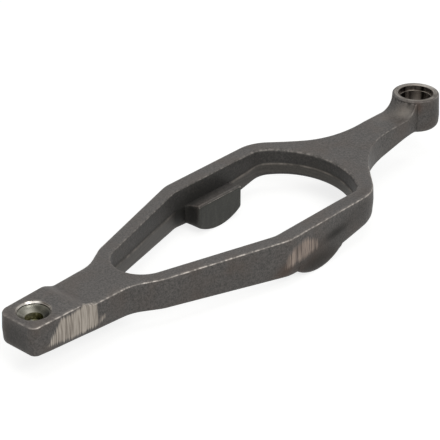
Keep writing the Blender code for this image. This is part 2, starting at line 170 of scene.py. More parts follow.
def resampled(where: Array, lengths: Array, rows: Array) -> Array:
    """Rows at other running lengths, each coordinate on the straight line between its neighbours."""
    return np.column_stack([np.interp(where, lengths, column) for column in rows.T])


def runs(stops: Sequence[float], counts: Sequence[int]) -> Array:
    """Even steps from stop to stop, each run with its own count, and the last stop at the end."""
    steps = [np.linspace(*ends, count, endpoint=False) for *ends, count in zip(stops, stops[1:], counts)]
    return np.concatenate([*steps, stops[-1:]])


def between(first: Array, last: Array, share: Array) -> Array:
    """Straight mix of two places: the first times (1 - share) plus the last times share."""
    return first * (1 - share) + last * share


def smooth_step(value: Array, low: float, high: float) -> Array:
    """Smooth ramp 3t^2 - 2t^3, where t runs from 0 at low to 1 at high."""
    share = np.clip((value - low) / (high - low), 0.0, 1.0)
    return share * share * (3.0 - 2.0 * share)


def bell(value: Array, middle: float, width: float) -> Array:
    """Bell curve exp(-((value - middle) / width)^2)."""
    return np.exp(-(((value - middle) / width) ** 2))


def on_axis(stations: Array) -> Array:
    """Plan points on the fork's axis at the given stations."""
    return np.column_stack([stations, np.zeros(len(stations))])


def moved_out(points: Array, normals: Array, growth: Array, heights: Array) -> Array:
    """Grid of plan points, each moved along its normal by a row of growth, at a row of heights."""
    side = points[:, None, :] + normals[:, None, :] * growth[..., None]
    return np.dstack([side, heights])


def read_all(
    items: bpy.types.bpy_prop_collection, name: str, width: int = 1, kind: type = np.float32
) -> Array:
    """One property of a mesh's items as an array.

    Args:
        items: the mesh's vertices, edges or faces, or their normals.
        name: the property.
        width: how many numbers each item has.
        kind: the numbers' type.

    Returns:
        One row for each item, or one number where width is 1.
    """
    values = np.empty(len(items) * width, dtype=kind)
    items.foreach_get(name, values)
    return values.reshape(-1, width) if width > 1 else values


@dataclass
class PlanCurve:
    """A curve in plan with even points, their running lengths and their left-hand normals."""

    corners: Array
    start_normal: tuple[float, float]
    end_normal: tuple[float, float]
    points: Array = field(init=False)
    lengths: Array = field(init=False)
    normals: Array = field(init=False)

    def __post_init__(self) -> None:
        """Spaces the points evenly and turns their tangents a quarter turn to the left."""
        rough = lengths_along(self.corners)
        self.lengths = np.linspace(0.0, rough[-1], math.ceil(rough[-1] / PLAN_STEP) + 1)
        self.points = resampled(self.lengths, rough, self.corners)
        tangents = np.gradient(self.points, axis=0)
        self.normals = np.column_stack([-tangents[:, 1], tangents[:, 0]])
        self.normals[0] = self.start_normal
        self.normals[-1] = self.end_normal
        self.normals /= np.linalg.norm(self.normals, axis=1)[:, None]

    def at(self, lengths: Array) -> tuple[Array, Array]:
        """Points and unit normals at given running lengths, between the even points.

        Args:
            lengths: running lengths from the curve's start.

        Returns:
            The points and the normals, one row each.
        """
        normals = resampled(lengths, self.lengths, self.normals)
        normals /= np.linalg.norm(normals, axis=1)[:, None]
        return resampled(lengths, self.lengths, self.points), normals

    def length_at(self, station: float) -> float:
        """Running length where the curve first reaches a station along X."""
        return float(self.lengths[np.argmax(self.points[:, 0] >= station)])


@dataclass(frozen=True)
class Placement:
    """Where the forging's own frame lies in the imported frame."""

    origin: Point

    def to_frame(self, points: Array) -> Array:
        """Millimetres in the forging's frame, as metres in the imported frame."""
        return points * MM + np.array(self.origin)

    def to_forging(self, points: Array) -> Array:
        """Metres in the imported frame, as millimetres in the forging's frame."""
        return (points - np.array(self.origin)) / MM


@dataclass
class Patchwork:
    """Grids of points gathered into one closed surface."""

    placement: Placement
    points: list[Array] = field(default_factory=list)
    faces: list[Array] = field(default_factory=list)
    zones: list[Array] = field(default_factory=list)
    count: int = 0

    def add_grid(self, grid: Array, zone: Zone | Array, flip: bool = False, ring: bool = False) -> None:
        """Adds a grid of points whose neighbours in both directions are joined by quads.

        Args:
            grid: rows by columns by 3 coordinates.
            zone: the zone of the whole grid, or one number for each column of quads.
            flip: whether the quads are turned over.
            ring: whether the last column joins the first.
        """
        rows, columns = grid.shape[:2]
        number = np.arange(rows * columns).reshape(rows, columns) + self.count
        if ring:
            number = np.column_stack([number, number[:, 0]])
        quads = np.stack([number[:-1, :-1], number[1:, :-1], number[1:, 1:], number[:-1, 1:]], axis=-1)
        kinds = np.full(quads.shape[1], zone.value) if isinstance(zone, Zone) else zone
        quads = quads.reshape(-1, 4)
        self.points.append(grid.reshape(-1, 3))
        self.faces.append(quads[:, ::-1] if flip else quads)
        self.zones.append(np.tile(kinds, rows - 1))
        self.count += rows * columns

    def solid(self, name: str) -> Piece:
        """Welds the grids where they meet, closes what is open and turns the faces outwards.

        Args:
            name: the object's name.

        Returns:
            The closed solid, linked to the scene.
        """
        mesh = bpy.data.meshes.new(name)
        points = self.placement.to_frame(np.vstack(self.points))
        mesh.from_pydata(points.tolist(), [], np.vstack(self.faces).tolist())
        mesh.polygons.foreach_set("material_index", np.concatenate(self.zones).astype(np.int32))
        form = bmesh.new()
        form.from_mesh(mesh)
        bmesh.ops.remove_doubles(form, verts=form.verts, dist=WELD * MM)
        bmesh.ops.dissolve_degenerate(form, edges=form.edges, dist=WELD * MM)
        open_edges = [edge for edge in form.edges if edge.is_boundary]
        if open_edges:
            bmesh.ops.holes_fill(form, edges=open_edges, sides=0)
        bmesh.ops.recalc_face_normals(form, faces=form.faces)
        if form.calc_volume(signed=True) < 0.0:
            bmesh.ops.reverse_faces(form, faces=form.faces)
        form.to_mesh(mesh)
        form.free()
        solid = bpy.data.objects.new(name, mesh)
        bpy.context.scene.collection.objects.link(solid)
        return solid

    def turn(
        self, profile: Array, centre_x: float, segments: int, zone: Zone, others: dict[int, Zone]
    ) -> None:
        """Adds a surface of revolution: each profile point circles a vertical axis at its radius.

        Args:
            profile: radius and height of each point, bottom to top.
            centre_x: station of the axis.
            segments: points round the circle.
            zone: the zone of the profile's stretches.
            others: the stretches that differ, each with its zone; -1 is the last one.
        """
        angle = np.linspace(0.0, 2 * math.pi, segments, endpoint=False)[:, None]
        radius, height = profile.T
        height = np.broadcast_to(height, (segments, len(profile)))
        grid = np.stack([centre_x + radius * np.cos(angle), radius * np.sin(angle), height], axis=-1)
        kinds = np.full(len(profile) - 1, zone.value)
        for place, other in others.items():
            kinds[place] = other.value
        self.add_grid(np.concatenate([grid, grid[:1]]), kinds)


@dataclass
class ForgedBlank:
    """The forging itself: block, neck, ring and arm, with drafted walls and rounded edges."""

    placement: Placement
    eye_x: float = EYE_X
    eye_radius: float = EYE_RADIUS
    eye_rise: float = EYE_RISE
    eye_overlap: float = 0.2
    block_end: float = -16.1
    block_half_width: float = 16.6
    left_corner: float = 11.5
    right_corner: float = 5.5
    block_rise: float = BLOCK_RISE
    end_lean: float = 0.5
    step_start: float = 22.5
    step_length: float = 12.5
    flare_start: float = 67.3
    neck_half_width: float = 19.4
    neck_flare_radius: float = 30.0
    flare_end: float = 86.4
    flare_half_width: float = 29.7
    flare_taper_radius: float = 25.0
    taper_end: float = 180.2
    ring_half_width: float = 58.1
    ring_corner_radius: float = 25.0
    shoulder_x: float = 273.4
    shoulder_radius: float = 31.0
    shoulder_angle: float = math.radians(44.0)
    arm_root_half_width: float = 12.8
    arm_sweep_radius: float = 66.0
    arm_half_width: float = 12.0
    arm_rise: float = 4.3
    rise_start: float = 288.0
    rise_end: float = 356.0
    blend_radius: float = 10.0
    sweep_radius: float = 11.5
    sweep_stop: float = 1.6
    rear_arc_x: float = 97.5
    rear_arc_radius: float = 21.2
    opening_half_width: float = OPENING_HALF_WIDTH
    opening_corner_radius: float = 18.0
    far_arc_x: float = 228.0
    far_arc_radius: float = 61.5
    far_blend_radius: float = 15.0
    far_edge_ease: tuple[float, float] = (12.0, 45.0)
    draft: float = DRAFT
    band_proud: float = 0.5
    band_step: float = 0.8
    edge_radius: float = 1.2
    foot_radius: float = 2.4
    block_foot_radius: float = 3.2
    inner_edge_radius: float = 1.3
    far_edge_radius: float = 2.6
    inner_foot_radius: float = 1.8
    far_foot_radius: float = 2.8
    keel_radius: float = 200.0
    keel_ease: float = 3.0
    keel: tuple[tuple[float, float], ...] = (
        (-16.1, -17.5), (67.3, -22.0), (220.0, -31.5), (289.5, -19.3),
        (333.0, -18.2), (377.5, -10.4), (400.0, -10.4),
    )
    # Stations that share the sections out, and how many sections lie between them
    block_station: float = 14.0
    ring_stations: tuple[float, ...] = (72.0, 90.0, 177.0, 266.0, 325.0)
    opening_stations: tuple[float, ...] = (91.5, 178.0, 262.0)
    arm_station: float = 384.0
    arm_axis_station: float = 380.0
    rear_counts: tuple[int, ...] = (50, 48)
    ring_counts: tuple[int, ...] = (34, 62, 62, 70)
    front_counts: tuple[int, ...] = (46, 25)
    keel_points: int = 7
    land_points: int = 10
    edge_points: int = 6
    wall_points: int = 7

    def level_top(self, x: Array) -> Array:
        """Height of the top along the axis: the block falls and the arm rises by smooth ramps."""
        block = 1.0 - smooth_step(x, self.step_start, self.step_start + self.step_length)
        return self.block_rise * block + self.arm_rise * smooth_step(x, self.rise_start, self.rise_end)

    def top(self, x: Array, y: Array) -> Array:
        """Height of the top anywhere, with the sweep up to the eye.

        Near the eye the surface is a quarter circle turned about the eye's axis:
        rise = R - sqrt(R^2 - d^2), where d is how far the point lies inside the sweep's foot.

        Args:
            x: stations.
            y: distances from the fork's axis.

        Returns:
            The heights.
        """
        inside = self.eye_radius + self.sweep_radius - np.hypot(x - self.eye_x, y)
        inside = np.clip(inside, 0.0, self.sweep_radius)
        sweep = self.sweep_radius - np.sqrt(self.sweep_radius**2 - inside**2)
        return np.minimum(self.level_top(x) + sweep, self.eye_rise - self.sweep_stop)

    def bottom(self, x: Array) -> Array:
        """Height of the underside: keel lines with rounded corners, averaged over a few mm.

        Args:
            x: stations.

        Returns:
            The heights.
        """
        stations, heights = rounded_path([(*corner, self.keel_radius) for corner in self.keel]).T
        shifts = np.linspace(-self.keel_ease, self.keel_ease, self.keel_points)
        return np.mean([np.interp(x + shift, stations, heights) for shift in shifts], axis=0)

    def outer_plan(self, corner: float) -> PlanCurve:
        """Outer outline at the level of the ring's top, from the block's end to inside the eye.

        Its corners are rounded, and its last arc touches the arm's side and the eye.

        Args:
            corner: radius in plan of the block's corner.

        Returns:
            The outline of one half.
        """
        shoulder_length = (self.ring_half_width - self.arm_root_half_width) / math.tan(self.shoulder_angle)
        reach = self.eye_radius - self.eye_overlap + self.blend_radius
        blend_y = self.arm_half_width + self.blend_radius
        blend_x = self.eye_x - math.sqrt(reach**2 - blend_y**2)
        touch = math.atan2(-blend_y, self.eye_x - blend_x)
        sides = rounded_path([
            (self.block_end, 0.0, 0.0),
            (self.block_end, self.block_half_width, corner),
            (self.flare_start, self.neck_half_width, self.neck_flare_radius),
            (self.flare_end, self.flare_half_width, self.flare_taper_radius),
            (self.taper_end, self.ring_half_width, self.ring_corner_radius),
            (self.shoulder_x, self.ring_half_width, self.shoulder_radius),
            (self.shoulder_x + shoulder_length, self.arm_root_half_width, self.arm_sweep_radius),
            (blend_x, self.arm_half_width, 0.0),
        ])
        blend = arc((blend_x, blend_y), self.blend_radius, -QUARTER, touch)
        inside = [[self.eye_x, blend[-1, 1]]]
        return PlanCurve(np.vstack([sides, blend[1:], inside]), (-1.0, 0.0), (0.0, 1.0))

    def opening_plan(self) -> PlanCurve:
        """Outline of the opening at the ring's top: rear arc, tapered side, flat side, far arc.

        The taper runs beside the ring's own, and each arc touches the line that follows it.

        Returns:
            The outline of one half.
        """
        run = self.taper_end - self.flare_end
        angle = math.atan2(self.ring_half_width - self.flare_half_width, run)
        rear = arc((self.rear_arc_x, 0.0), self.rear_arc_radius, math.pi, QUARTER + angle)
        taper = (self.opening_half_width * math.cos(angle) - self.rear_arc_radius) / math.sin(angle)
        blend_y = self.opening_half_width - self.far_blend_radius
        reach = self.far_arc_radius - self.far_blend_radius
        blend_run = math.sqrt(reach**2 - blend_y**2)
        blend_x = self.far_arc_x + blend_run
        touch = math.atan2(blend_y, blend_run)
        sides = rounded_path([
            (*rear[-1], 0.0),
            (self.rear_arc_x + taper, self.opening_half_width, self.opening_corner_radius),
            (blend_x, self.opening_half_width, 0.0),
        ])
        blend = arc((blend_x, blend_y), self.far_blend_radius, QUARTER, touch)
        far = arc((self.far_arc_x, 0.0), self.far_arc_radius, touch, 0.0)
        return PlanCurve(np.vstack([rear, sides[1:-1], blend, far[1:]]), (-1.0, 0.0), (1.0, 0.0))

    def wall_offset(self, z: Array, parting: Array) -> Array:
        """Growth of the outer wall at a height: out by the draft down to the parting, then in."""
        return -self.draft * np.maximum(z, parting) - self.draft * np.maximum(parting - z, 0.0)

    def shell_columns(self, outer: Array, normals: Array, inner_top: Array, inner_bottom: Array) -> Array:
        """Cross-sections of one half, from the inner line on top round the outside to the one below.

        A column runs over the top land, down a quarter circle, down the drafted wall, round a
        larger quarter circle and back over the underside.

        Args:
            outer: outline points.
            normals: their outward normals.
            inner_top: inner line of the top land.
            inner_bottom: inner line of the underside.

        Returns:
            A grid of outline points by section points by 3 coordinates.
        """
        edge = self.edge_radius
        extra = 1.0 - smooth_step(outer[:, 0], self.block_end, self.block_end + self.block_half_width)
        foot = self.foot_radius + (self.block_foot_radius - self.foot_radius) * extra
        rough_top = self.top(outer[:, 0], outer[:, 1])
        rough_bottom = self.bottom(outer[:, 0])
        parting = (self.level_top(outer[:, 0]) + rough_bottom) / 2
        land_top = outer + normals * (self.wall_offset(rough_top - edge, parting) - edge)[:, None]
        land_bottom = outer + normals * (self.wall_offset(rough_bottom + foot, parting) - foot)[:, None]
        share = np.linspace(0.0, 1.0, self.land_points)[None, :, None]
        upper = between(inner_top[:, None, :], land_top[:, None, :], share)
        upper = np.dstack([upper, self.top(upper[..., 0], upper[..., 1])])
        under = between(land_bottom[:, None, :], inner_bottom[:, None, :], share)
        under = np.dstack([under, self.bottom(under[..., 0])])
        turn = np.linspace(0.0, QUARTER, self.edge_points)
        fall = np.linspace(0.0, 1.0, self.wall_points)
        start = (self.top(land_top[:, 0], land_top[:, 1]) - edge)[:, None]
        end = (self.bottom(land_bottom[:, 0]) + foot)[:, None]
        foot, parting = foot[:, None], parting[:, None]
        drop = between(start, parting, fall)
        rise = between(parting, end, fall)
        heights = np.hstack([
            (start + edge * np.cos(turn))[:, 1:],
            drop[:, 1:],
            rise[:, 1:],
            (end - foot * np.sin(turn))[:, 1:-1],
        ])
        growth = np.hstack([
            (self.wall_offset(start, parting) - edge + edge * np.sin(turn))[:, 1:],
            self.wall_offset(drop, parting)[:, 1:],
            self.wall_offset(rise, parting)[:, 1:],
            (self.wall_offset(end, parting) - foot * (1 - np.cos(turn)))[:, 1:-1],
        ])
        return np.concatenate([upper, moved_out(outer, normals, growth, heights), under], axis=1)

    def inner_radii(self, x: Array) -> tuple[Array, Array]:
        """Radii of the opening's top and bottom edges: small along the sides, larger round the arc.

        Args:
            x: stations.

        Returns:
            The top edge's radii and the bottom edge's.
        """
        low, high = self.far_edge_ease
        far = smooth_step(x, self.far_arc_x + low, self.far_arc_x + high)
        edge = self.inner_edge_radius + (self.far_edge_radius - self.inner_edge_radius) * far
        return edge, self.inner_foot_radius + (self.far_foot_radius - self.inner_foot_radius) * far

    def opening_columns(self, points: Array, normals: Array) -> tuple[Array, Array]:
        """Columns of the opening's wall, from the top edge's quarter circle to the underside's.

        The wall leans in to the parting line. Below a step, the sheared band stands upright and
        proud of the draft.

        Args:
            points: outline points of the opening.
            normals: their normals, into the metal.

        Returns:
            The grid of columns, and the zone number of each stretch between its points.
        """
        edge, foot = (radius[:, None] for radius in self.inner_radii(points[:, 0]))
        parting = (self.level_top(points[:, 0]) + self.bottom(points[:, 0]))[:, None] / 2
        band = self.draft * parting - self.band_proud
        rim = points + normals * (edge * (1 - self.draft))
        high = self.top(rim[:, 0], rim[:, 1])[:, None]
        low = self.bottom(points[:, 0] + normals[:, 0] * (band + foot)[:, 0])[:, None]
        turn = np.linspace(0.0, QUARTER, self.edge_points)
        fall = np.linspace(0.0, 1.0, self.wall_points)
        drop = between(high - edge, parting, fall)
        heights = np.hstack([
            high - edge + edge * np.cos(turn),
            drop[:, 1:],
            between(parting - self.band_step, low + foot, fall),
            (low + foot - foot * np.sin(turn))[:, 1:],
        ])
        lean = self.draft * (drop - high)
        growth = np.hstack([
            lean[:, :1] + edge * (1 - np.sin(turn)),
            lean[:, 1:],
            np.repeat(band, self.wall_points, axis=1),
            (band + foot * (1 - np.cos(turn)))[:, 1:],
        ])
        zones = np.full(heights.shape[1] - 1, Zone.FORGED.value)
        zones[self.edge_points + self.wall_points - 2 : 1 - self.edge_points] = Zone.SHEARED.value
        return moved_out(points, normals, growth, heights), zones

    def half(self, corner: float) -> tuple[Array, Array, Array]:
        """One half of the blank: its outer shell, its wall of the opening and that wall's zones.

        The shell's inner lines follow the fork's axis over the block, go round the opening and
        follow the axis again inside the arm, with as many points as the outline.

        Args:
            corner: radius in plan of the block's corner on this half.

        Returns:
            The shell's grid, the opening's grid and the opening's zones.
        """
        outer, opening = self.outer_plan(corner), self.opening_plan()
        stations = (self.block_station, *self.ring_stations, self.arm_station)
        stops = [0.0, *map(outer.length_at, stations), outer.lengths[-1]]
        outer_lengths = runs(stops, self.rear_counts + self.ring_counts + self.front_counts)
        stops = [0.0, *map(opening.length_at, self.opening_stations), opening.lengths[-1]]
        wall, zones = self.opening_columns(*opening.at(runs(stops, self.ring_counts)))
        block_top = self.block_end + self.edge_radius + self.draft * (self.block_rise - self.edge_radius)
        block_bottom = self.block_end + self.block_foot_radius + self.end_lean
        inner = []
        for start, line in ((block_top, wall[:, 0, :2]), (block_bottom, wall[:, -1, :2])):
            rear = runs([start, self.block_station, line[0, 0]], self.rear_counts)[:-1]
            front = runs([line[-1, 0], self.arm_axis_station, self.eye_x], self.front_counts)[1:]
            inner.append(np.vstack([on_axis(rear), line, on_axis(front)]))
        return self.shell_columns(*outer.at(outer_lengths), *inner), wall, zones

    def build(self) -> Piece:
        """Both halves of the blank, mirrored over the fork's axis and welded into one solid.

        Returns:
            The closed solid.
        """
        work = Patchwork(self.placement)
        for side, corner in ((1.0, self.left_corner), (-1.0, self.right_corner)):
            shell, wall, zones = self.half(corner)
            mirror = np.array([1.0, side, 1.0])
            work.add_grid(shell * mirror, Zone.FORGED, flip=side < 0)
            work.add_grid(wall * mirror, zones, flip=side > 0)
        return work.solid("forged_blank")


@dataclass
class PushRodEye:
    """The upright eye: forged outside, bored and counterbored inside."""

    placement: Placement
    centre_x: float = EYE_X
    radius: float = EYE_RADIUS
    rise: float = EYE_RISE
    depth: float = 11.4
    parting: float = -2.55
    draft: float = DRAFT
    foot_radius: float = 4.5
    rim_break: float = 1.5
    bore_radius: float = 12.3
    counterbore_radius: float = 13.4
    counterbore_depth: float = 4.2
    ledge_break: float = 0.3
    chamfer: float = 0.6
    # How far the cutter passes the eye's ends, and how far the boss reaches inside the cut
    overcut: float = 5.0
    inside: tuple[float, float] = (2.0, 1.0)
    wall_points: tuple[int, int] = (5, 13)
    segments: int = 144

    @property
    def widest(self) -> float:
        """Radius of the outer wall at the parting line."""
        return self.radius + (self.rise - self.parting) * self.draft

    def boss(self) -> Piece:
        """The eye before boring: round foot, wall that leans out to the parting and in, flat rim.

        Returns:
            The closed solid; its ends reach inside what the bore cuts.
        """
        foot_height = -self.depth + self.foot_radius
        foot_radius = self.widest - (self.parting - foot_height) * self.draft
        rim_foot = self.rise - self.rim_break
        corners = ((foot_radius, foot_height), (self.widest, self.parting), (self.radius, rim_foot))
        lower, upper = (
            np.linspace(start, stop, count)[1:]
            for start, stop, count in zip(corners, corners[1:], self.wall_points)
        )
        # Every second point of the foot's arc and every third of the rim's are enough here
        foot = arc((foot_radius - self.foot_radius, foot_height), self.foot_radius, -QUARTER, 0.0)[::2]
        rim = arc((self.radius - self.rim_break, rim_foot), self.rim_break, 0.0, QUARTER)[3::3]
        first = [(self.bore_radius - self.inside[0], -self.depth)]
        last = [(self.counterbore_radius - self.inside[1], self.rise)]
        work = Patchwork(self.placement)
        profile = np.vstack([first, foot, lower, upper, rim, last])
        work.turn(profile, self.centre_x, self.segments, Zone.FORGED, {-1: Zone.TURNED})
        return work.solid("eye_boss")

    def bore(self) -> Piece:
        """The cutter for the bore, with its counterbore and a chamfer at each mouth.

        Returns:
            The closed cutter, turned from its profile.
        """
        flare = self.chamfer + self.overcut
        ledge = self.rise - self.counterbore_depth
        profile = np.array([
            (self.bore_radius + flare, -self.depth - self.overcut),
            (self.bore_radius, -self.depth + self.chamfer),
            (self.bore_radius, ledge - self.ledge_break),
            (self.bore_radius + self.ledge_break, ledge),
            (self.counterbore_radius, ledge),
            (self.counterbore_radius, self.rise - self.chamfer),
            (self.counterbore_radius + flare, self.rise + self.overcut),
        ])
        work = Patchwork(self.placement)
        work.turn(profile, self.centre_x, self.segments, Zone.TURNED, {1: Zone.BORED, 4: Zone.BORED})
        return work.solid("eye_bore")


@dataclass
class BallSeat:
    """The seat for the pivot ball: chamfered mouth, short wall, spherical seat and relief hole."""

    placement: Placement
    top: float = BLOCK_RISE
    mouth_radius: float = 10.5
    chamfer: float = 1.0
    overcut: float = 5.0
    wall_depth: float = 0.7
    ledge_rise: float = 0.1
    bowl_radius: float = 10.1
    seat_radius: float = 13.5
    hole_radius: float = 5.9
    hole_depth: float = 5.9
    hole_cone: float = 2.2
    segments: int = 112

    def cutter(self) -> Piece:
        """The seat's cutter: cone and wall of the hole, arc for the ball, ledge, wall and chamfer.

        Returns:
            The closed cutter, turned from its profile.
        """
        mouth = self.top - self.chamfer
        ledge = mouth - self.wall_depth
        ball = ledge + math.sqrt(self.seat_radius**2 - self.bowl_radius**2)
        start = -math.acos(self.hole_radius / self.seat_radius)
        end = -math.acos(self.bowl_radius / self.seat_radius)
        profile = np.vstack([
            (self.hole_radius - self.hole_cone, -self.hole_depth - self.hole_cone),
            (self.hole_radius, -self.hole_depth),
            arc((0.0, ball), self.seat_radius, start, end),
            (self.mouth_radius, ledge + self.ledge_rise),
            (self.mouth_radius, mouth),
            (self.mouth_radius + self.chamfer + self.overcut, self.top + self.overcut),
        ])
        work = Patchwork(self.placement)
        others = {0: Zone.RELIEF, 1: Zone.RELIEF, -1: Zone.TURNED}
        work.turn(profile, 0.0, self.segments, Zone.SEAT, others)
        return work.solid("ball_seat")


@dataclass
class BearingPad:
    """One pad on the inside of the ring, with its heel below the ring's outer wall."""

    placement: Placement
    side: float
    centre_x: float = PADS_X
    half_length: float = 22.5
    face_y: float = 33.2
    wall_y: float = OPENING_HALF_WIDTH
    heel_y: float = 58.7
    heel_height: float = -15.3
    heel_lean: float = 0.022
    face_top: float = -11.8
    wall_top: float = -14.2
    arc_radius: float = 41.0
    arc_depth: float = 36.0
    root_radius: float = 5.0
    top_edge: float = 1.8
    side_edge: float = 0.8
    heel_edge: float = 1.8
    heel_drop: float = 5.0
    heel_fade: float = 9.0
    heel_sink: float = 1.6
    heel_far_sink: float = 0.9
    lean_zone: tuple[float, float] = (4.0, 1.0)
    # Distances between the rounded stretches and the sections beside them
    behind_edge: float = 0.6
    behind_wall: float = 1.0
    before_heel: float = 0.4
    contour_points: int = 184
    averaged: int = 2
    edge_steps: int = 6
    level_steps: int = 6
    root_steps: int = 7
    heel_steps: int = 8
    cap_rings: int = 14
    cap_start: float = 0.1

    def contour(self, half_length: float, top: float, radius: float) -> Array:
        """A pad's section across Y: flat top, upright ends and a round underside, softened.

        The closed polyline is spaced evenly and each point is averaged with its neighbours, which
        rounds the corners.

        Args:
            half_length: half the section's length along X.
            top: height of its flat top.
            radius: radius of its underside.

        Returns:
            The section's points (x, z), anticlockwise seen from -Y.
        """
        end = math.acos(half_length / radius)
        round_side = arc((0.0, self.arc_radius - self.arc_depth), radius, end - math.pi, -end)
        ring = np.vstack([round_side, [(half_length, top), (-half_length, top)], round_side[:1]])
        lengths = lengths_along(ring)
        even = np.linspace(0.0, lengths[-1], self.contour_points, endpoint=False)
        points = resampled(even, lengths, ring)
        shifts = range(-self.averaged, self.averaged + 1)
        return np.mean([np.roll(points, shift, axis=0) for shift in shifts], axis=0)

    def section(self, half_length: float, top: float, radius: float, y: Array | float) -> Array:
        """The contour set in space at a distance from the fork's axis."""
        x, z = self.contour(half_length, top, radius).T
        return np.column_stack([x + self.centre_x, np.broadcast_to(y, len(x)), z])

    def upward(self, top: float) -> Array:
        """How far each point of the contour faces up: 1 is straight up and -1 straight down.

        Args:
            top: height of the contour's flat top.

        Returns:
            One value for each point.
        """
        points = self.contour(self.half_length, top, self.arc_radius)
        tangents = np.roll(points, -1, axis=0) - np.roll(points, 1, axis=0)
        return -tangents[:, 0] / np.linalg.norm(tangents, axis=1)

    def front(self) -> list[Array]:
        """Sections from the flat face over its rounded edge and along the pad to its root.

        Returns:
            The sections; edge and root follow the sine and cosine of a quarter turn.
        """
        upward = np.clip(self.upward(self.face_top), 0.0, 1.0)
        edge = self.side_edge + (self.top_edge - self.side_edge) * upward
        sections = []
        for turn in np.linspace(0.0, QUARTER, self.edge_steps):
            cut = 1 - math.sin(turn)
            side, top = self.side_edge * cut, self.face_top - self.top_edge * cut
            y = self.face_y + edge * (1 - math.cos(turn))
            sections.append(self.section(self.half_length - side, top, self.arc_radius - side, y))
        root_y = self.wall_y - self.root_radius
        slope = (self.wall_top - self.face_top) / (self.wall_y - self.face_y)
        level = np.linspace(self.face_y + self.top_edge + self.behind_edge, root_y, self.level_steps)
        turns = np.linspace(0.0, QUARTER, self.root_steps)[1:]
        root = root_y + self.root_radius * np.sin(turns)
        wider = np.concatenate([level * 0.0, self.root_radius * (1 - np.cos(turns))])
        for y, growth in zip(np.concatenate([level, root]), wider):
            top = self.face_top + slope * (y - self.face_y)
            sections.append(self.section(self.half_length + growth, top, self.arc_radius, y))
        return sections

    def heel(self) -> list[Array]:
        """Sections through the ring's wall and round the heel's lower edge.

        Returns:
            The sections; the edge follows the sine and cosine of a quarter turn.
        """
        length = self.half_length + self.root_radius
        stop = self.heel_y - self.heel_edge - self.before_heel
        sections = []
        for y in np.linspace(self.wall_y + self.behind_wall, stop, self.heel_steps):
            share = float(smooth_step(y, self.wall_y, self.wall_y + self.heel_drop))
            top = self.wall_top + (self.heel_height - self.wall_top) * share
            sections.append(self.section(length, top, self.arc_radius, y))
        edge = self.heel_edge * np.clip(-self.upward(self.heel_height), 0.0, 1.0)
        for turn in np.linspace(0.0, QUARTER, self.edge_steps):
            y = self.heel_y - edge * (1 - math.sin(turn))
            radius = self.arc_radius - self.heel_edge * (1 - math.cos(turn))
            sections.append(self.section(length, self.heel_height, radius, y))
        return sections

    def build(self) -> Piece:
        """The pad, its flat ends filled with rings; its outer wall leans out and fades at both ends.

        Returns:
            The closed solid.
        """
        grid = np.stack(self.front() + self.heel())
        shares = np.linspace(self.cap_start, 1.0, self.cap_rings, endpoint=False)[:, None, None]
        face, back = (between(end.mean(axis=0), end, shares) for end in (grid[0], grid[-1]))
        grid = np.concatenate([face, grid, back[::-1]])
        x, y, z = np.moveaxis(grid, -1, 0)
        far = smooth_step(y, *(self.heel_y - inside for inside in self.lean_zone))
        out = self.heel_lean * np.maximum(self.heel_height - z, 0.0)
        start = self.centre_x - self.half_length - self.root_radius
        stop = self.centre_x + self.half_length + self.root_radius
        near_end = 1.0 - smooth_step(x, start, start + self.heel_fade)
        far_end = smooth_step(x, stop - self.heel_fade, stop)
        y += far * (out - near_end * self.heel_sink - far_end * self.heel_far_sink)
        y *= self.side
        work = Patchwork(self.placement)
        work.add_grid(grid, Zone.FORGED, ring=True)
        return work.solid("pad_left" if self.side > 0 else "pad_right")


def join(target: Piece, operation: str, tool: Piece) -> None:
    """Unites a solid with a tool, or cuts it, and drops the tool.

    Args:
        target: the solid that changes.
        operation: UNION or DIFFERENCE.
        tool: the other solid.
    """
    step = target.modifiers.new(tool.name, "BOOLEAN")
    step.operation = operation
    step.solver = "EXACT"
    step.object = tool
    graph = bpy.context.evaluated_depsgraph_get()
    mesh = bpy.data.meshes.new_from_object(target.evaluated_get(graph))
    target.modifiers.clear()
    old = target.data
    target.data = mesh
    bpy.data.meshes.remove(old)
    bpy.data.objects.remove(tool)


def linear(code: str) -> tuple[float, float, float, float]:
    """An sRGB hex colour such as 6a6664 as linear light.

    Args:
        code: two hex digits each for red, green and blue.

    Returns:
        Linear red, green, blue and a full alpha.
    """
    channels = [int(code[place : place + 2], 16) / 255 for place in (0, 2, 4)]
    values = [c / 12.92 if c <= 0.04045 else ((c + 0.055) / 1.055) ** 2.4 for c in channels]
    return (*values, 1.0)


def add_node(
    tree: Tree, kind: str, inputs: dict[str | int, object] | None = None, **settings: object
) -> Node:
    """Adds a shader node with its links, values and settings.

    Args:
        tree: the node tree.
        kind: the node's type without its ShaderNode prefix.
        inputs: for each input, a value, the socket that feeds it, or a node whose first open
            output feeds it.
        settings: attributes to set on the node.

    Returns:
        The new node.
    """
    node = tree.nodes.new(f"ShaderNode{kind}")
    for name, value in settings.items():
        setattr(node, name, value)
    for name, value in (inputs or {}).items():
        if isinstance(value, bpy.types.Node):
            value = next(socket for socket in value.outputs if socket.enabled)
        if isinstance(value, bpy.types.NodeSocket):
            tree.links.new(value, node.inputs[name])
        else:
            node.inputs[name].default_value = value
    return node


def bare_tree(owner: bpy.types.Material | bpy.types.World) -> Tree:
    """The owner's node tree, emptied.

    Args:
        owner: a material or a world.

    Returns:
        The tree, without nodes.
    """
    owner.use_nodes = True
    owner.node_tree.nodes.clear()
    return owner.node_tree


def per_metre(size_mm: float) -> float:
    """Noise scale at which a pattern's features have the given size in millimetres."""
    return 1.0 / (size_mm * MM)


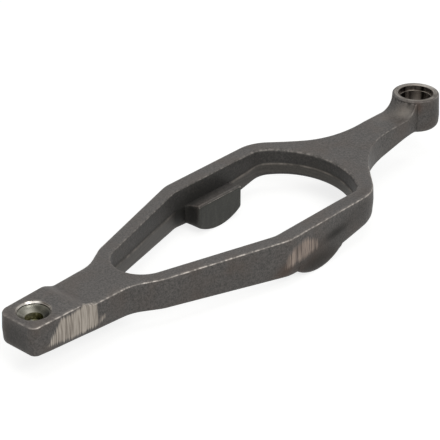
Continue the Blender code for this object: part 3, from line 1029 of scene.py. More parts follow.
@dataclass(frozen=True)
class GroundPatch:
    """A patch of the near wall that was ground bare, with its outline in X and Z."""

    corners: tuple[tuple[float, float], ...]
    near_y: float
    tint: float = 0.0
    reach: float = 2.5
    cap: float = 6.0

    def inset(self, points: Array) -> Array:
        """How far each point lies inside the patch's outline, in millimetres; outside is negative.

        The distance to the outline is the least distance to its sides. A point is inside when a
        line from it crosses the sides an odd number of times.

        Args:
            points: positions in the forging's frame.

        Returns:
            The signed distances, capped; points off the near wall get minus the cap.
        """
        at = points[:, [0, 2]]
        nearest = np.full(len(at), self.cap)
        crossings = np.zeros(len(at), dtype=int)
        corners = np.array(self.corners)
        for start, end in zip(corners, np.roll(corners, -1, axis=0)):
            side = end - start
            share = np.clip((at - start) @ side / (side @ side), 0.0, 1.0)
            nearest = np.minimum(nearest, np.linalg.norm(at - start - share[:, None] * side, axis=1))
            spans = (start[1] > at[:, 1]) != (end[1] > at[:, 1])
            rise = side[1] if side[1] else 1.0
            crossings += spans & (at[:, 0] < start[0] + (at[:, 1] - start[1]) * side[0] / rise)
        signed = np.where(crossings % 2 == 1, nearest, -nearest)
        return np.where(np.abs(points[:, 1] - self.near_y) < self.reach, signed, -self.cap)


@dataclass(frozen=True)
class Blot:
    """A soft long spot on the surface, in the forging's frame."""

    centre: Point
    along: Point
    half_length: float
    half_width: float
    strength: float

    def share(self, points: Array) -> Array:
        """Strength at each point: strength times exp(-(a / length)^2 - (b / width)^2).

        Here a is the distance from the centre along the spot's line and b the distance off it.

        Args:
            points: positions in millimetres.

        Returns:
            One value for each point.
        """
        line = np.array(self.along) / np.linalg.norm(self.along)
        gap = points - np.array(self.centre)
        ahead = gap @ line
        square = np.einsum("ij,ij->i", gap, gap) - ahead**2
        return self.strength * np.exp(-((ahead / self.half_length) ** 2) - square / self.half_width**2)


@dataclass
class SurfaceMarks:
    """Bright edge lines of scuffed metal and painted highlight, painted shade, painted highlights, brown
    stains and ground patches, worked out at each vertex and kept as attributes.
    """

    placement: Placement
    patches: tuple[GroundPatch, ...] = (
        GroundPatch((
            (7.0, 2.0), (15.6, 1.6), (23.6, 2.2), (27.0, 3.6), (37.3, -0.8), (38.4, -14.4),
            (37.4, -16.2), (14.6, -16.0), (-0.8, -13.6), (-5.0, -12.9), (1.4, -5.0),
        ), -17.4),
        GroundPatch(((39.7, -14.6), (43.2, -13.4), (42.8, -10.6), (40.3, -10.9)), -18.0),
        GroundPatch((
            (176.8, -13.2), (185.0, -6.3), (197.4, -5.6), (209.3, -11.2),
            (210.6, -18.0), (193.4, -20.8), (177.2, -21.6),
        ), -58.9, tint=1.0),
    )
    # Painted shade: soft dark spots where the fork lies in shade, by the lug, the near wall, the pads' ends
    # and tops, the block's end, the eye's wall, the sweep's foot and the seat's near side; the faint one on
    # the neck's top is a darker patch of skin
    shade_blots: tuple[Blot, ...] = (
        Blot((228.0, -58.6, -14.4), (1.0, 0.0, 0.05), 13.0, 3.4, 0.9),
        Blot((208.0, -58.9, -28.5), (1.0, 0.0, 0.0), 28.0, 8.5, 0.8),
        Blot((258.0, -58.9, -10.0), (1.0, 0.0, 0.1), 34.0, 12.0, 0.34),
        Blot((-17.0, 2.0, -8.0), (0.0, 1.0, 0.0), 18.0, 10.0, 0.45),
        Blot((400.0, -18.0, 2.0), (0.0, 0.0, 1.0), 18.0, 15.0, 0.32),
        Blot((182.5, 46.0, -20.5), (1.0, 0.0, 0.0), 8.0, 7.0, 1.3),
        Blot((383.2, -2.0, 12.6), (0.0, 1.0, 0.0), 10.0, 1.8, 0.6),
        Blot((204.0, 45.4, -12.6), (1.0, 0.0, 0.0), 26.0, 7.5, 1.0),
        Blot((187.5, 41.0, -20.5), (0.0, 1.0, 0.2), 9.0, 7.5, 1.3),
        Blot((5.4, -6.0, 0.5), (0.75, 0.66, 0.0), 5.0, 3.4, 0.9),
        Blot((72.0, 0.0, 0.0), (1.0, 0.0, 0.0), 22.0, 15.0, 0.1),
    )
    brown_blots: tuple[Blot, ...] = (
        Blot((176.0, -58.2, -22.5), (1.0, 0.0, 0.6), 11.0, 5.5, 0.75),
        Blot((204.0, -58.9, -16.0), (1.0, 0.0, 0.0), 9.0, 6.0, 0.35),
        Blot((196.0, -58.9, -26.0), (1.0, 0.0, 0.0), 16.0, 4.0, 0.4),
        Blot((386.5, -13.0, 10.0), (0.0, 0.4, 1.0), 5.0, 3.2, 0.7),
    )
    # Painted highlights: soft bright spots where light catches the sweep up to the eye, the far side of the
    # seat's chamfer and bowl, the eye's rim, the left pad's front and the arm
    highlight_blots: tuple[Blot, ...] = (
        Blot((377.5, -5.5, 8.4), (0.3, -1.0, 0.3), 8.0, 5.0, 0.55),
        Blot((4.6, 10.2, 3.6), (0.9, -0.45, 0.0), 1.6, 1.6, 0.8),
        Blot((9.0, 6.6, 3.6), (0.6, -0.8, 0.0), 2.4, 1.6, 0.8),
        Blot((-3.0, 10.8, 3.6), (1.0, 0.1, 0.0), 4.0, 1.6, 0.25),
        Blot((416.0, 0.0, 15.2), (0.0, 1.0, 0.0), 12.0, 2.4, 0.3),
        Blot((212.0, 34.6, -12.4), (1.0, 0.0, 0.0), 24.0, 2.6, 0.1),
        Blot((1.0, 7.8, 0.8), (1.0, -0.1, 0.0), 5.0, 3.4, 0.6),
        Blot((365.0, 5.0, 4.6), (1.0, 0.0, 0.0), 9.0, 6.0, 0.15),
    )
    # Curvature: rounds of smoothing, the least squared length of an edge, and its share in the painted shade
    # of creases
    smoothing: int = 2
    least_square: float = 0.04
    crease_shade_gain: float = 2.5
    # Bright edge line, partly scuffed metal and partly painted highlight: where it lies on an edge, and its
    # share on each stretch of the fork
    wear_sheen_gain: float = 5.0
    wear_sheen_lift: float = 0.62
    wear_sheen_spread: float = 0.24
    inner_wear_sheen: float = 0.34
    arm_wear_sheen: float = 0.3
    arm_start: tuple[float, float] = (288.0, 312.0)
    pad_wear_sheen: float = 0.02
    end_wear_sheen: float = 0.35
    end_facing: tuple[float, float] = (0.2, 0.7)
    step_wear_sheen: float = 0.8
    step_lift: float = 0.27
    step_spread: float = 0.2
    step_below: float = -8.0
    step_gap: tuple[float, float] = (180.0, 14.0)
    step_gap_depth: float = 0.9
    # Painted shade inside the ring: the ring's stations, how far a wall faces the opening, and the pads
    ring_centre: float = 200.0
    ring_start: tuple[float, float] = (68.0, 84.0)
    ring_end: tuple[float, float] = (300.0, 312.0)
    wall_facing: tuple[float, float] = (0.2, 0.75)
    wall_shade: float = 0.85
    pad_shade: float = 0.8
    pads_x: float = PADS_X
    pads_spread: float = 42.0
    pads_reach: float = 31.0
    pads_inside: float = 46.0
    pads_below: float = -11.0
    pads_facing: float = 0.5

    def curvature(self, mesh: Mesh, points: Array, normals: Array) -> Array:
        """Mean curvature at each vertex, in 1/mm: positive on convex edges, negative in creases.

        Along an edge with ends p and q, the surface bends by 2 (p - q).n / |p - q|^2 at p. Each
        vertex takes the mean over its edges. Each round of smoothing then keeps half of it and
        takes the other half from the neighbours' mean.

        Args:
            mesh: the mesh whose edges are read.
            points: vertex positions in millimetres.
            normals: vertex normals.

        Returns:
            One value for each vertex.
        """
        ends = read_all(mesh.edges, "vertices", 2, np.int32)
        first, second = ends.T
        along = points[first] - points[second]
        square = np.maximum(np.einsum("ij,ij->i", along, along), self.least_square)
        total = np.zeros(len(points))
        valence = np.maximum(np.bincount(ends.ravel(), minlength=len(points)), 1)
        for place, toward in ((first, 2), (second, -2)):
            np.add.at(total, place, toward * np.einsum("ij,ij->i", along, normals[place]) / square)
        bend = total / valence
        for _ in range(self.smoothing):
            around = np.bincount(first, bend[second], len(points))
            around += np.bincount(second, bend[first], len(points))
            bend = 0.5 * bend + 0.5 * around / valence
        return bend

    def by_pads(self, points: Array) -> Array:
        """Whether each point lies inside the ring's wall and below the pads' tops."""
        return (np.abs(points[:, 1]) < self.pads_inside) & (points[:, 2] < self.pads_below)

    def wear_and_sheen(self, points: Array, normals: Array, bend: Array) -> Array:
        """Share of scuffed metal and painted highlight: a thin bright line where convex upper edges turn from
        top to wall.

        The line is a bell curve of the normal's upward part about a set lift, times the
        curvature. It is weaker on the edges that face the opening, at the block's end and along
        the arm. The step over the sheared band has a line of its own, where the normal is nearer
        level.

        Args:
            points: vertex positions in millimetres.
            normals: vertex normals.
            bend: mean curvature at each vertex.

        Returns:
            One value from 0 to 1 for each vertex.
        """
        outward = normals[:, 0] * (points[:, 0] - self.ring_centre) + normals[:, 1] * points[:, 1]
        share = np.where(outward > 0.0, 1.0, self.inner_wear_sheen)
        share *= 1.0 - (1.0 - self.arm_wear_sheen) * smooth_step(points[:, 0], *self.arm_start)
        share[self.by_pads(points)] *= self.pad_wear_sheen
        at_end = smooth_step(-normals[:, 0], *self.end_facing) * (points[:, 0] < 0.0)
        share *= 1.0 - (1.0 - self.end_wear_sheen) * at_end
        line = share * bell(normals[:, 2], self.wear_sheen_lift, self.wear_sheen_spread)
        step = self.step_wear_sheen * bell(normals[:, 2], self.step_lift, self.step_spread)
        step *= (points[:, 2] < self.step_below) & (outward < 0.0)
        step *= 1.0 - self.step_gap_depth * bell(points[:, 0], *self.step_gap)
        return np.clip(bend * self.wear_sheen_gain, 0.0, 1.0) * np.maximum(line, step)

    def scale(self, points: Array, normals: Array) -> Array:
        """Share of painted shade: on the walls that face the opening and on the pads' sides.

        Args:
            points: vertex positions in millimetres.
            normals: vertex normals.

        Returns:
            One value from 0 to 1 for each vertex.
        """
        x, y, _ = points.T
        ahead = x - self.ring_centre
        inward = -(normals[:, 0] * ahead + normals[:, 1] * y) / np.hypot(ahead, y)
        on_ring = smooth_step(x, *self.ring_start) * (1.0 - smooth_step(x, *self.ring_end))
        near_pads = self.wall_shade + (1.0 - self.wall_shade) * bell(x, self.pads_x, self.pads_spread)
        walls = smooth_step(inward, *self.wall_facing) * on_ring * near_pads
        on_pads = self.by_pads(points) & (np.abs(x - self.pads_x) < self.pads_reach)
        return np.maximum(walls, self.pad_shade * (on_pads & (normals[:, 2] < self.pads_facing)))

    def mark(self, piece: Piece) -> None:
        """Writes the attributes that the finishes read.

        Args:
            piece: the finished fork.
        """
        mesh = piece.data
        points = self.placement.to_forging(read_all(mesh.vertices, "co", 3).astype(float))
        normals = read_all(mesh.vertex_normals, "vector", 3).astype(float)
        bend = self.curvature(mesh, points, normals)
        insets = np.array([patch.inset(points) for patch in self.patches])
        tints = np.array([patch.tint for patch in self.patches])
        # Sums of the blots: painted shade, brown stains and painted highlight; below, the painted shade
        # deepens in creases
        dark, brown, painted_highlight = (
            sum(blot.share(points) for blot in blots)
            for blots in (self.shade_blots, self.brown_blots, self.highlight_blots)
        )
        for name, values in (
            (WEAR_SHEEN, self.wear_and_sheen(points, normals, bend)),
            (CREASE_SHADE, np.clip(dark - bend * self.crease_shade_gain, 0.0, 1.0)),
            (SOIL, brown),
            (HIGHLIGHT_MASK, painted_highlight),
            (INNER_SHADE, self.scale(points, normals)),
            (GROUND, insets.max(axis=0)),
            (TINT, tints[insets.argmax(axis=0)]),
        ):
            layer = mesh.attributes.new(name, "FLOAT", "POINT")
            layer.data.foreach_set("value", values.astype(np.float32))


@dataclass(frozen=True)
class Finish:
    """What every finish of the fork has: a name, a shader of its own and some relief."""

    name: str
    metallic: float
    bump_mm: float
    bump_strength: float

    def surface(self, tree: Tree) -> tuple[Node, Node, Node]:
        """Colour, roughness and height of the surface; every finish has its own."""
        raise NotImplementedError

    def material(self) -> bpy.types.Material:
        """The finish as a material.

        Returns:
            The material, which reads the attributes that SurfaceMarks writes.
        """
        material = bpy.data.materials.new(self.name)
        tree = bare_tree(material)
        colour, rough, height = self.surface(tree)
        relief = {"Height": height, "Distance": self.bump_mm * MM, "Strength": self.bump_strength}
        look = {"Base Color": colour, "Metallic": self.metallic, "Roughness": rough}
        shader = add_node(tree, "BsdfPrincipled", {**look, "Normal": add_node(tree, "Bump", relief)})
        add_node(tree, "OutputMaterial", {"Surface": shader})
        return material


@dataclass(frozen=True)
class ForgedSteel(Finish):
    """Carbon steel, drop forged and shot blasted, under a thin dry oxide.

    The eye sees a dull dark grey skin with a fine even grain and slow brownish clouds, a thin
    bright line along the edges, partly scuffed metal and partly painted highlight, painted
    highlights on the sweep and the pads' fronts, painted shade inside the ring, in creases and in
    hollows, and streaky bare metal where it was ground. The blasted grain is drawn as coarse as it
    needs to show.
    """

    name: str = "steel_forged_blasted"
    metallic: float = 0.35
    bump_mm: float = 0.12
    bump_strength: float = 0.8
    dark: str = "3d3b39"
    light: str = "605c59"
    brown: str = "53463c"
    soil: str = "4a382d"
    # Painted highlight, painted shade inside the ring, the bright edge line of scuffed metal and painted
    # highlight, and painted shade in creases
    painted_highlight: str = "8d857b"
    scale: str = "292826"
    worn_and_sheen: str = "d2c9c0"
    painted_shade: str = "1d1c19"
    bare: tuple[str, str] = ("70675d", "b0a79c")
    tinted: tuple[str, str] = ("42362e", "9a8a7e")
    roughness: tuple[float, float] = (0.50, 0.64)
    grain_mm: float = 1.2
    fleck_mm: float = 2.4
    fleck_share: float = 0.32
    cloud_mm: float = 20.0
    dot_mm: float = 3.2
    scratch_mm: Point = (0.8, 8.0, 18.0)
    ragged_mm: float = 7.0
    patch_edge: float = 2.9
    patch_inside: float = 4.9
    tint_softness: float = 1.3
    # How much of the painted shade shows, and how much rougher the surface is under it
    shade_share: float = 0.8
    shade_roughens: float = 0.4
    bare_shines: float = -0.18

    def surface(self, tree: Tree) -> tuple[Node, Node, Node]:
        """The skin with its clouds, stains, painted shade, painted highlights and bright edge lines, and the
        ground patches on it.

        Args:
            tree: the material's node tree.

        Returns:
            Colour, roughness and height.
        """
        where = add_node(tree, "TexCoord").outputs["Object"]
        worn_and_sheen, shaded, inner_shaded, inset, tint, soiled, painted_highlight = (
            add_node(tree, "Attribute", attribute_name=name).outputs["Fac"]
            for name in (WEAR_SHEEN, CREASE_SHADE, INNER_SHADE, GROUND, TINT, SOIL, HIGHLIGHT_MASK)
        )
        patterns = ((self.grain_mm, 3.0), (self.fleck_mm, 3.0), (self.cloud_mm, 2.0), (self.dot_mm, 4.0))
        grain, flecks, clouds, dots = (
            add_node(tree, "TexNoise", {"Vector": where, "Scale": per_metre(size), "Detail": detail})
            for size, detail in patterns
        )

        # Skin: fine grain over larger flecks
        tone = add_node(tree, "Mix", {0: self.fleck_share, 2: grain, 3: flecks}, data_type="FLOAT")
        tone = add_node(tree, "MapRange", {"Value": tone, "From Min": 0.35, "From Max": 0.65})
        skin = add_node(tree, "Mix", {0: tone, 6: linear(self.dark), 7: linear(self.light)}, data_type="RGBA")

        # Over it: brownish clouds, mottled painted shade inside the ring, painted highlights, stains, painted
        # shade in creases, and the dotted bright edge lines of scuffed metal and painted highlight
        brown = {"Value": clouds, "From Min": 0.45, "From Max": 0.75, "To Max": 0.4}
        mottled = {"Value": tone, "To Min": 1.0, "To Max": 0.66}
        dots = {"Value": dots, "From Min": 0.44, "From Max": 0.62, "To Min": 0.22}
        brown, mottled, dots = (add_node(tree, "MapRange", terms) for terms in (brown, mottled, dots))
        inner_shaded, shaded, worn_and_sheen = (
            add_node(tree, "Math", {0: share, 1: factor}, operation="MULTIPLY")
            for share, factor in ((inner_shaded, mottled), (shaded, self.shade_share), (worn_and_sheen, dots))
        )
        for share, code in (
            (brown, self.brown),
            (inner_shaded, self.scale),
            (painted_highlight, self.painted_highlight),
            (soiled, self.soil),
            (shaded, self.painted_shade),
            (worn_and_sheen, self.worn_and_sheen),
        ):
            skin = add_node(tree, "Mix", {0: share, 6: skin, 7: linear(code)}, data_type="RGBA")

        # Ground patches: upright scratches with a ragged outline
        stretch = tuple(per_metre(size) for size in self.scratch_mm)
        stretched = add_node(tree, "Mapping", {"Vector": where, "Scale": stretch})
        scratches = add_node(tree, "TexNoise", {"Vector": stretched, "Scale": 1.0, "Detail": 4.0})
        ragged = {0: scratches, 1: self.ragged_mm, 2: inset}
        inner = {0: tint, 1: self.tint_softness, 2: self.patch_inside}
        ragged, inner = (add_node(tree, "Math", terms, operation="MULTIPLY_ADD") for terms in (ragged, inner))
        ground = add_node(tree, "MapRange", {"Value": ragged, "From Min": self.patch_edge, "From Max": inner})
        streak = add_node(tree, "MapRange", {"Value": scratches, "From Min": 0.34, "From Max": 0.62})
        bare, tinted = (
            add_node(tree, "Mix", {0: streak, 6: linear(dark), 7: linear(light)}, data_type="RGBA")
            for dark, light in (self.bare, self.tinted)
        )
        bare = add_node(tree, "Mix", {0: tint, 6: bare, 7: tinted}, data_type="RGBA")
        skin = add_node(tree, "Mix", {0: ground, 6: skin, 7: bare}, data_type="RGBA")

        # Gloss and relief: bright edge lines and ground metal are smoother, painted shade rougher, and ground
        # metal flat but for its scratches
        low, high = self.roughness
        limits = {"From Min": 0.3, "From Max": 0.7, "To Min": low, "To Max": high}
        rough = add_node(tree, "MapRange", {"Value": grain, **limits})
        bright = add_node(tree, "Math", {0: worn_and_sheen, 1: ground}, operation="MAXIMUM")
        for share, change in ((bright, self.bare_shines), (shaded, self.shade_roughens)):
            rough = add_node(tree, "Math", {0: share, 1: change, 2: rough}, operation="MULTIPLY_ADD")
        return skin, rough, add_node(tree, "Mix", {0: ground, 2: tone, 3: scratches}, data_type="FLOAT")


@dataclass(frozen=True)
class Film:
    """A colour laid over a finish, where an attribute says so or where the finish's marks peak."""

    code: str
    attribute: str = ""
    dot_mm: float = 0.0
    strength: float = 1.0


@dataclass(frozen=True)
class TooledSteel(Finish):
    """Carbon steel as a tool left it: two tones along the tool's marks, under films of colour."""

    dark: str
    light: str
    marks_mm: Point
    roughness: tuple[float, float]
    tones: tuple[float, float]
    detail: float = 3.0
    grain_mm: float = 0.0
    grain_detail: float = 3.0
    gloss: tuple[float, float] = (0.0, 1.0)
    films: tuple[Film, ...] = ()

    def surface(self, tree: Tree) -> tuple[Node, Node, Node]:
        """Noise stretched to the marks' sizes, mixed with a grain where there is one.

        Args:
            tree: the material's node tree.

        Returns:
            Colour, roughness and height.
        """
        where = add_node(tree, "TexCoord").outputs["Object"]
        stretch = tuple(per_metre(size) for size in self.marks_mm)
        stretched = add_node(tree, "Mapping", {"Vector": where, "Scale": stretch})
        marks = add_node(tree, "TexNoise", {"Vector": stretched, "Scale": 1.0, "Detail": self.detail})
        tone = finest = marks
        if self.grain_mm:
            size = {"Scale": per_metre(self.grain_mm), "Detail": self.grain_detail}
            finest = add_node(tree, "TexNoise", {"Vector": where, **size})
            tone = add_node(tree, "Mix", {0: 0.5, 2: marks, 3: finest}, data_type="FLOAT")
        low, high = self.tones
        share = add_node(tree, "MapRange", {"Value": tone, "From Min": low, "From Max": high})
        ends = {6: linear(self.dark), 7: linear(self.light)}
        colour = add_node(tree, "Mix", {0: share, **ends}, data_type="RGBA")
        for film in self.films:
            if film.attribute:
                share = add_node(tree, "Attribute", attribute_name=film.attribute).outputs["Fac"]
            else:
                # A film without an attribute is a painted glint where the marks peak
                peaks = {"From Min": 0.6, "From Max": 0.7, "To Max": film.strength}
                share = add_node(tree, "MapRange", {"Value": marks, **peaks})
            if film.dot_mm:
                size = {"Scale": per_metre(film.dot_mm), "Detail": 3.0}
                dots = add_node(tree, "TexNoise", {"Vector": where, **size})
                limits = {"From Min": 0.42, "From Max": 0.64, "To Min": 0.2}
                dots = add_node(tree, "MapRange", {"Value": dots, **limits})
                share = add_node(tree, "Math", {0: share, 1: dots}, operation="MULTIPLY")
            colour = add_node(tree, "Mix", {0: share, 6: colour, 7: linear(film.code)}, data_type="RGBA")
        names = ("From Min", "From Max", "To Min", "To Max")
        limits = dict(zip(names, self.gloss + self.roughness))
        return colour, add_node(tree, "MapRange", {"Value": finest, **limits}), tone


# Cut by a trimming press: the eye sees a smoother, browner band with fine streaks, a lighter dotted line that
# is partly scuffed metal and partly painted highlight, and painted shade in its creases
SHEARED_STEEL = TooledSteel(
    name="steel_sheared_band",
    metallic=0.4,
    bump_mm=0.08,
    bump_strength=0.7,
    dark="33312e",
    light="524e49",
    marks_mm=(40.0, 40.0, 1.8),
    detail=2.0,
    grain_mm=1.2,
    tones=(0.3, 0.7),
    roughness=(0.45, 0.6),
    films=(Film("aaa197", WEAR_SHEEN, dot_mm=6.0), Film("1d1c19", CREASE_SHADE)),
)

# Filed flat: the eye sees a dark, even, slightly silky face with faint upright marks; its darkness is partly
# painted shade
FACED_STEEL = TooledSteel(
    name="steel_faced_pad",
    metallic=0.4,
    bump_mm=0.05,
    bump_strength=0.6,
    dark="252521",
    light="40403b",
    marks_mm=(4.0, 8.0, 14.0),
    grain_mm=1.4,
    grain_detail=2.0,
    tones=(0.3, 0.7),
    roughness=(0.42, 0.56),
)

# Bored, with oil run down the wall: the eye sees upright bands, the mirror-like ones painted reflections, the
# dark brown ones oil
BORED_STEEL = TooledSteel(
    name="steel_bored_streaked",
    metallic=0.95,
    bump_mm=0.03,
    bump_strength=0.4,
    dark="26221f",
    light="aea69e",
    marks_mm=(5.0, 5.0, 120.0),
    detail=2.0,
    tones=(0.36, 0.66),
    roughness=(0.4, 0.2),
)

# Cut for the ball, under old oil: the eye sees a smooth dark grey bowl with a few painted wet glints, a
# painted highlight on its far side and painted shade on its near side and in its creases
SEAT_STEEL = TooledSteel(
    name="steel_ball_seat_oiled",
    metallic=0.85,
    bump_mm=0.15,
    bump_strength=0.5,
    dark="45443b",
    light="66645a",
    marks_mm=(8.0, 8.0, 8.0),
    tones=(0.36, 0.64),
    gloss=(0.3, 0.7),
    roughness=(0.22, 0.36),
    films=(Film("b3b1a6", strength=0.5), Film("b3b1a6", HIGHLIGHT_MASK), Film("17160f", CREASE_SHADE)),
)

# Drilled, under grease: the eye sees a mottled olive hole with painted wet glints and painted highlights, and
# painted shade in its creases
RELIEF_STEEL = TooledSteel(
    name="steel_relief_hole_greased",
    metallic=0.3,
    bump_mm=0.5,
    bump_strength=0.5,
    dark="25240f",
    light="6f6c42",
    marks_mm=(3.0, 3.0, 3.0),
    tones=(0.36, 0.64),
    gloss=(0.3, 0.7),
    roughness=(0.15, 0.4),
    films=(Film("c4c0a4", strength=0.8), Film("c4c0a4", HIGHLIGHT_MASK), Film("17160f", CREASE_SHADE)),
)


@dataclass(frozen=True)
class TurnedSteel(Finish):
    """Carbon steel faced on a lathe, with old oil dried on it.

    The eye sees brighter, smoother metal with fine rings round the bore's axis and brown stains, and a
    near-white painted highlight on the seat's chamfer and the eye's rim.
    """

    name: str = "steel_turned_stained"
    metallic: float = 0.95
    bump_mm: float = 0.05
    bump_strength: float = 0.5
    dark: str = "4c4843"
    light: str = "8d867e"
    stain: str = "3d352e"
    # Near-white painted highlight, where the attribute says so
    painted_highlight: str = "fffaf2"
    ring_mm: float = 0.7
    stain_mm: float = 7.0
    centre: Point = (0.0, 0.0, 0.0)

    def surface(self, tree: Tree) -> tuple[Node, Node, Node]:
        """Rings that follow the distance from the bore's axis and the height, under stains.

        Args:
            tree: the material's node tree.

        Returns:
            Colour, roughness and height.
        """
        where = add_node(tree, "TexCoord").outputs["Object"]
        centred = add_node(tree, "Mapping", {"Vector": where, "Location": tuple(-c for c in self.centre)})
        parts = add_node(tree, "SeparateXYZ", {0: centred}).outputs
        flat = add_node(tree, "CombineXYZ", {0: parts[0], 1: parts[1]})
        radius = add_node(tree, "VectorMath", {0: flat}, operation="LENGTH")
        rings_at = add_node(tree, "CombineXYZ", {0: radius, 2: parts[2]})
        rings, stains = (
            add_node(tree, "TexNoise", {"Vector": place, "Scale": per_metre(size), "Detail": detail})
            for place, size, detail in ((rings_at, self.ring_mm, 2.0), (where, self.stain_mm, 3.0))
        )
        share = add_node(tree, "MapRange", {"Value": rings, "From Min": 0.35, "From Max": 0.65})
        ends = {6: linear(self.dark), 7: linear(self.light)}
        metal = add_node(tree, "Mix", {0: share, **ends}, data_type="RGBA")
        limits = {"From Min": 0.48, "From Max": 0.7, "To Max": 0.7}
        stained = add_node(tree, "MapRange", {"Value": stains, **limits})
        painted_highlight = add_node(tree, "Attribute", attribute_name=HIGHLIGHT_MASK).outputs["Fac"]
        for share, code in ((stained, self.stain), (painted_highlight, self.painted_highlight)):
            metal = add_node(tree, "Mix", {0: share, 6: metal, 7: linear(code)}, data_type="RGBA")
        limits = {"From Min": 0.3, "From Max": 0.7, "To Min": 0.24, "To Max": 0.44}
        return metal, add_node(tree, "MapRange", {"Value": stains, **limits}), rings


@dataclass
class ClutchFork:
    """The whole fork: the blank, the eye, the pads and the seat made one piece and dressed."""

    placement: Placement
    blank: ForgedBlank = field(init=False)
    eye: PushRodEye = field(init=False)
    seat: BallSeat = field(init=False)
    pads: tuple[BearingPad, BearingPad] = field(init=False)
    sharp_angle: float = math.radians(38.0)
    face_lift: float = 0.2
    face_slack: float = 0.1

    def __post_init__(self) -> None:
        """Makes the sub-assemblies in the same frame."""
        self.blank = ForgedBlank(self.placement)
        self.eye = PushRodEye(self.placement)
        self.seat = BallSeat(self.placement)
        self.pads = (BearingPad(self.placement, 1.0), BearingPad(self.placement, -1.0))

    def build(self) -> Piece:
        """The fork as one closed mesh.

        Returns:
            The piece, named and linked to the scene.
        """
        fork = self.blank.build()
        for part in (self.eye.boss(), *(pad.build() for pad in self.pads)):
            join(fork, "UNION", part)
        for cutter in (self.eye.bore(), self.seat.cutter()):
            join(fork, "DIFFERENCE", cutter)
        fork.name = fork.data.name = "forged_fork"
        return fork

    def zones(self, mesh: Mesh) -> Array:
        """The zone number of each face, with the pads' upright faces set apart.

        Args:
            mesh: the fork's mesh.

        Returns:
            One number for each face.
        """
        zones = read_all(mesh.polygons, "material_index", kind=np.int32)
        upright = read_all(mesh.polygons, "normal", 3)[:, 2] < self.face_lift
        x, y, _ = np.abs(self.placement.to_forging(read_all(mesh.polygons, "center", 3))).T
        pad = self.pads[0]
        # The face's rounded edge takes the faced finish too, so that its lit strip gets the faced steel's
        # darker colour: painted shade
        on_face = (y > pad.face_y - self.face_slack) & (y < pad.face_y + pad.side_edge)
        along = np.abs(x - pad.centre_x) < pad.half_length + self.face_slack
        zones[upright & on_face & along] = Zone.FACED.value
        return zones

    def dress(self, fork: Piece) -> None:
        """Gives each zone its finish, shades the surface and marks it.

        Args:
            fork: the finished mesh.
        """
        mesh = fork.data
        zones = self.zones(mesh)
        eye_centre = self.placement.to_frame(np.array([self.eye.centre_x, 0.0, 0.0]))
        finishes = {
            Zone.FORGED: ForgedSteel(),
            Zone.SHEARED: SHEARED_STEEL,
            Zone.FACED: FACED_STEEL,
            Zone.TURNED: TurnedSteel(centre=tuple(eye_centre)),
            Zone.SEAT: SEAT_STEEL,
            Zone.RELIEF: RELIEF_STEEL,
            Zone.BORED: BORED_STEEL,
        }
        mesh.materials.clear()
        for zone in Zone:
            mesh.materials.append(finishes[zone].material())
        mesh.polygons.foreach_set("material_index", zones)
        mesh.shade_smooth()
        mesh.set_sharp_from_angle(angle=self.sharp_angle)
        SurfaceMarks(self.placement).mark(fork)


@dataclass(frozen=True)
class Lamp:
    """A square soft lamp that faces the fork: its place and size in metres, its power in watts."""

    name: str
    place: Point
    size: float
    power: float

    def hang(self) -> None:
        """Adds the lamp to the scene, turned towards the middle of the floor."""
        data = bpy.data.lights.new(self.name, "AREA")
        data.shape = "SQUARE"
        data.size = self.size
        data.energy = self.power
        lamp = bpy.data.objects.new(self.name, data)
        lamp.location = self.place
        lamp.rotation_euler = (-Vector(self.place)).to_track_quat("-Z", "Y").to_euler()
        bpy.context.scene.collection.objects.link(lamp)


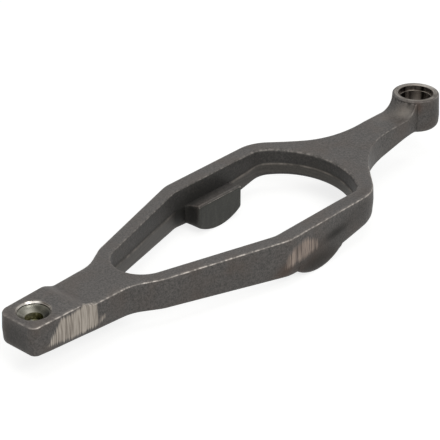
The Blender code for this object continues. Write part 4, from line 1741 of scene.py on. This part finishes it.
@dataclass
class Studio:
    """Camera, floor, lamps and world; lengths are in metres but where a name says otherwise."""

    placement: Placement
    camera_mm: Point = (-612.66, -700.83, 579.97)
    heading: float = math.radians(41.692)
    dip: float = math.radians(28.98)
    focal_px: float = 1750.0
    image_px: float = 440.0
    sensor_mm: float = 36.0
    view_limit: float = 50.0
    floor_size: float = 8.0
    floor_code: str = "a4a4a2"
    floor_glow: float = 0.78
    sky_fill: float = 0.34
    lamps: tuple[Lamp, ...] = (
        Lamp("overhead", (0.0, 0.1, 1.3), 1.2, 4.8),
        Lamp("key", (-0.42, -0.95, 0.9), 0.8, 8.6),
    )

    def camera(self) -> None:
        """A level camera with the photograph's place, heading and lens."""
        data = bpy.data.cameras.new("camera")
        data.sensor_width = self.sensor_mm
        data.lens = self.focal_px / self.image_px * self.sensor_mm
        data.clip_end = self.view_limit
        camera = bpy.data.objects.new("camera", data)
        camera.location = self.placement.to_frame(np.array(self.camera_mm))
        camera.rotation_euler = (QUARTER - self.dip, 0.0, self.heading - QUARTER)
        bpy.context.scene.collection.objects.link(camera)
        bpy.context.scene.camera = camera

    def seen(self, tree: Tree, strength: float, unseen: float) -> Node:
        """A brightness for camera, glossy and transmission rays, and another for the rest.

        Args:
            tree: the node tree.
            strength: brightness that those rays see.
            unseen: brightness as a light.

        Returns:
            The node that gives the brightness.
        """
        path = add_node(tree, "LightPath").outputs
        either = path["Is Camera Ray"]
        for kind in ("Glossy", "Transmission"):
            either = add_node(tree, "Math", {0: either, 1: path[f"Is {kind} Ray"]}, operation="MAXIMUM")
        return add_node(tree, "MapRange", {"Value": either, "To Min": unseen, "To Max": strength})

    def floor(self) -> None:
        """A plain pale floor, white under a glow that only camera, glossy and transmission rays see."""
        half = self.floor_size / 2
        mesh = bpy.data.meshes.new("floor")
        corners = [(-half, -half, 0.0), (half, -half, 0.0), (half, half, 0.0), (-half, half, 0.0)]
        mesh.from_pydata(corners, [], [(0, 1, 2, 3)])
        floor = bpy.data.objects.new("floor", mesh)
        bpy.context.scene.collection.objects.link(floor)
        material = bpy.data.materials.new("paper_white")
        tree = bare_tree(material)
        paper = add_node(tree, "BsdfDiffuse", {"Color": linear(self.floor_code)})
        glow = add_node(tree, "Emission", {"Strength": self.seen(tree, self.floor_glow, 0.0)})
        both = add_node(tree, "AddShader", {0: paper, 1: glow})
        add_node(tree, "OutputMaterial", {"Surface": both})
        mesh.materials.append(material)

    def world(self) -> None:
        """White for camera, glossy and transmission rays, softer as a light."""
        world = bpy.data.worlds.new("studio")
        tree = bare_tree(world)
        strength = self.seen(tree, 1.0, self.sky_fill)
        sky = add_node(tree, "Background", {"Color": (1.0, 1.0, 1.0, 1.0), "Strength": strength})
        add_node(tree, "OutputWorld", {"Surface": sky})
        bpy.context.scene.world = world

    def set_up(self) -> None:
        """Builds the whole studio."""
        self.camera()
        self.floor()
        self.world()
        for lamp in self.lamps:
            lamp.hang()
        bpy.context.scene.view_settings.view_transform = "Standard"


def forging_placement() -> Placement:
    """Finds the forging's frame: the eye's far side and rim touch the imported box.

    Returns:
        The placement of the forging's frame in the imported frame.
    """
    _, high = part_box(NODE)
    eye = PushRodEye(Placement((0.0, 0.0, 0.0)))
    return Placement((float(high[0] - (eye.centre_x + eye.widest) * MM), 0.0, float(high[2] - eye.rise * MM)))


def main() -> None:
    """Builds the fork, dresses it, lights it and reports the piece."""
    logging.basicConfig(level=logging.INFO, format="%(name)s: %(message)s")
    placement = forging_placement()
    assembly = ClutchFork(placement)
    fork = assembly.build()
    assembly.dress(fork)
    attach(fork, BODY)
    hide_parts(NODE)
    LOG.info("%s: %d faces", fork.name, len(fork.data.polygons))
    Studio(placement).set_up()


if __name__ == "__main__":
    main()
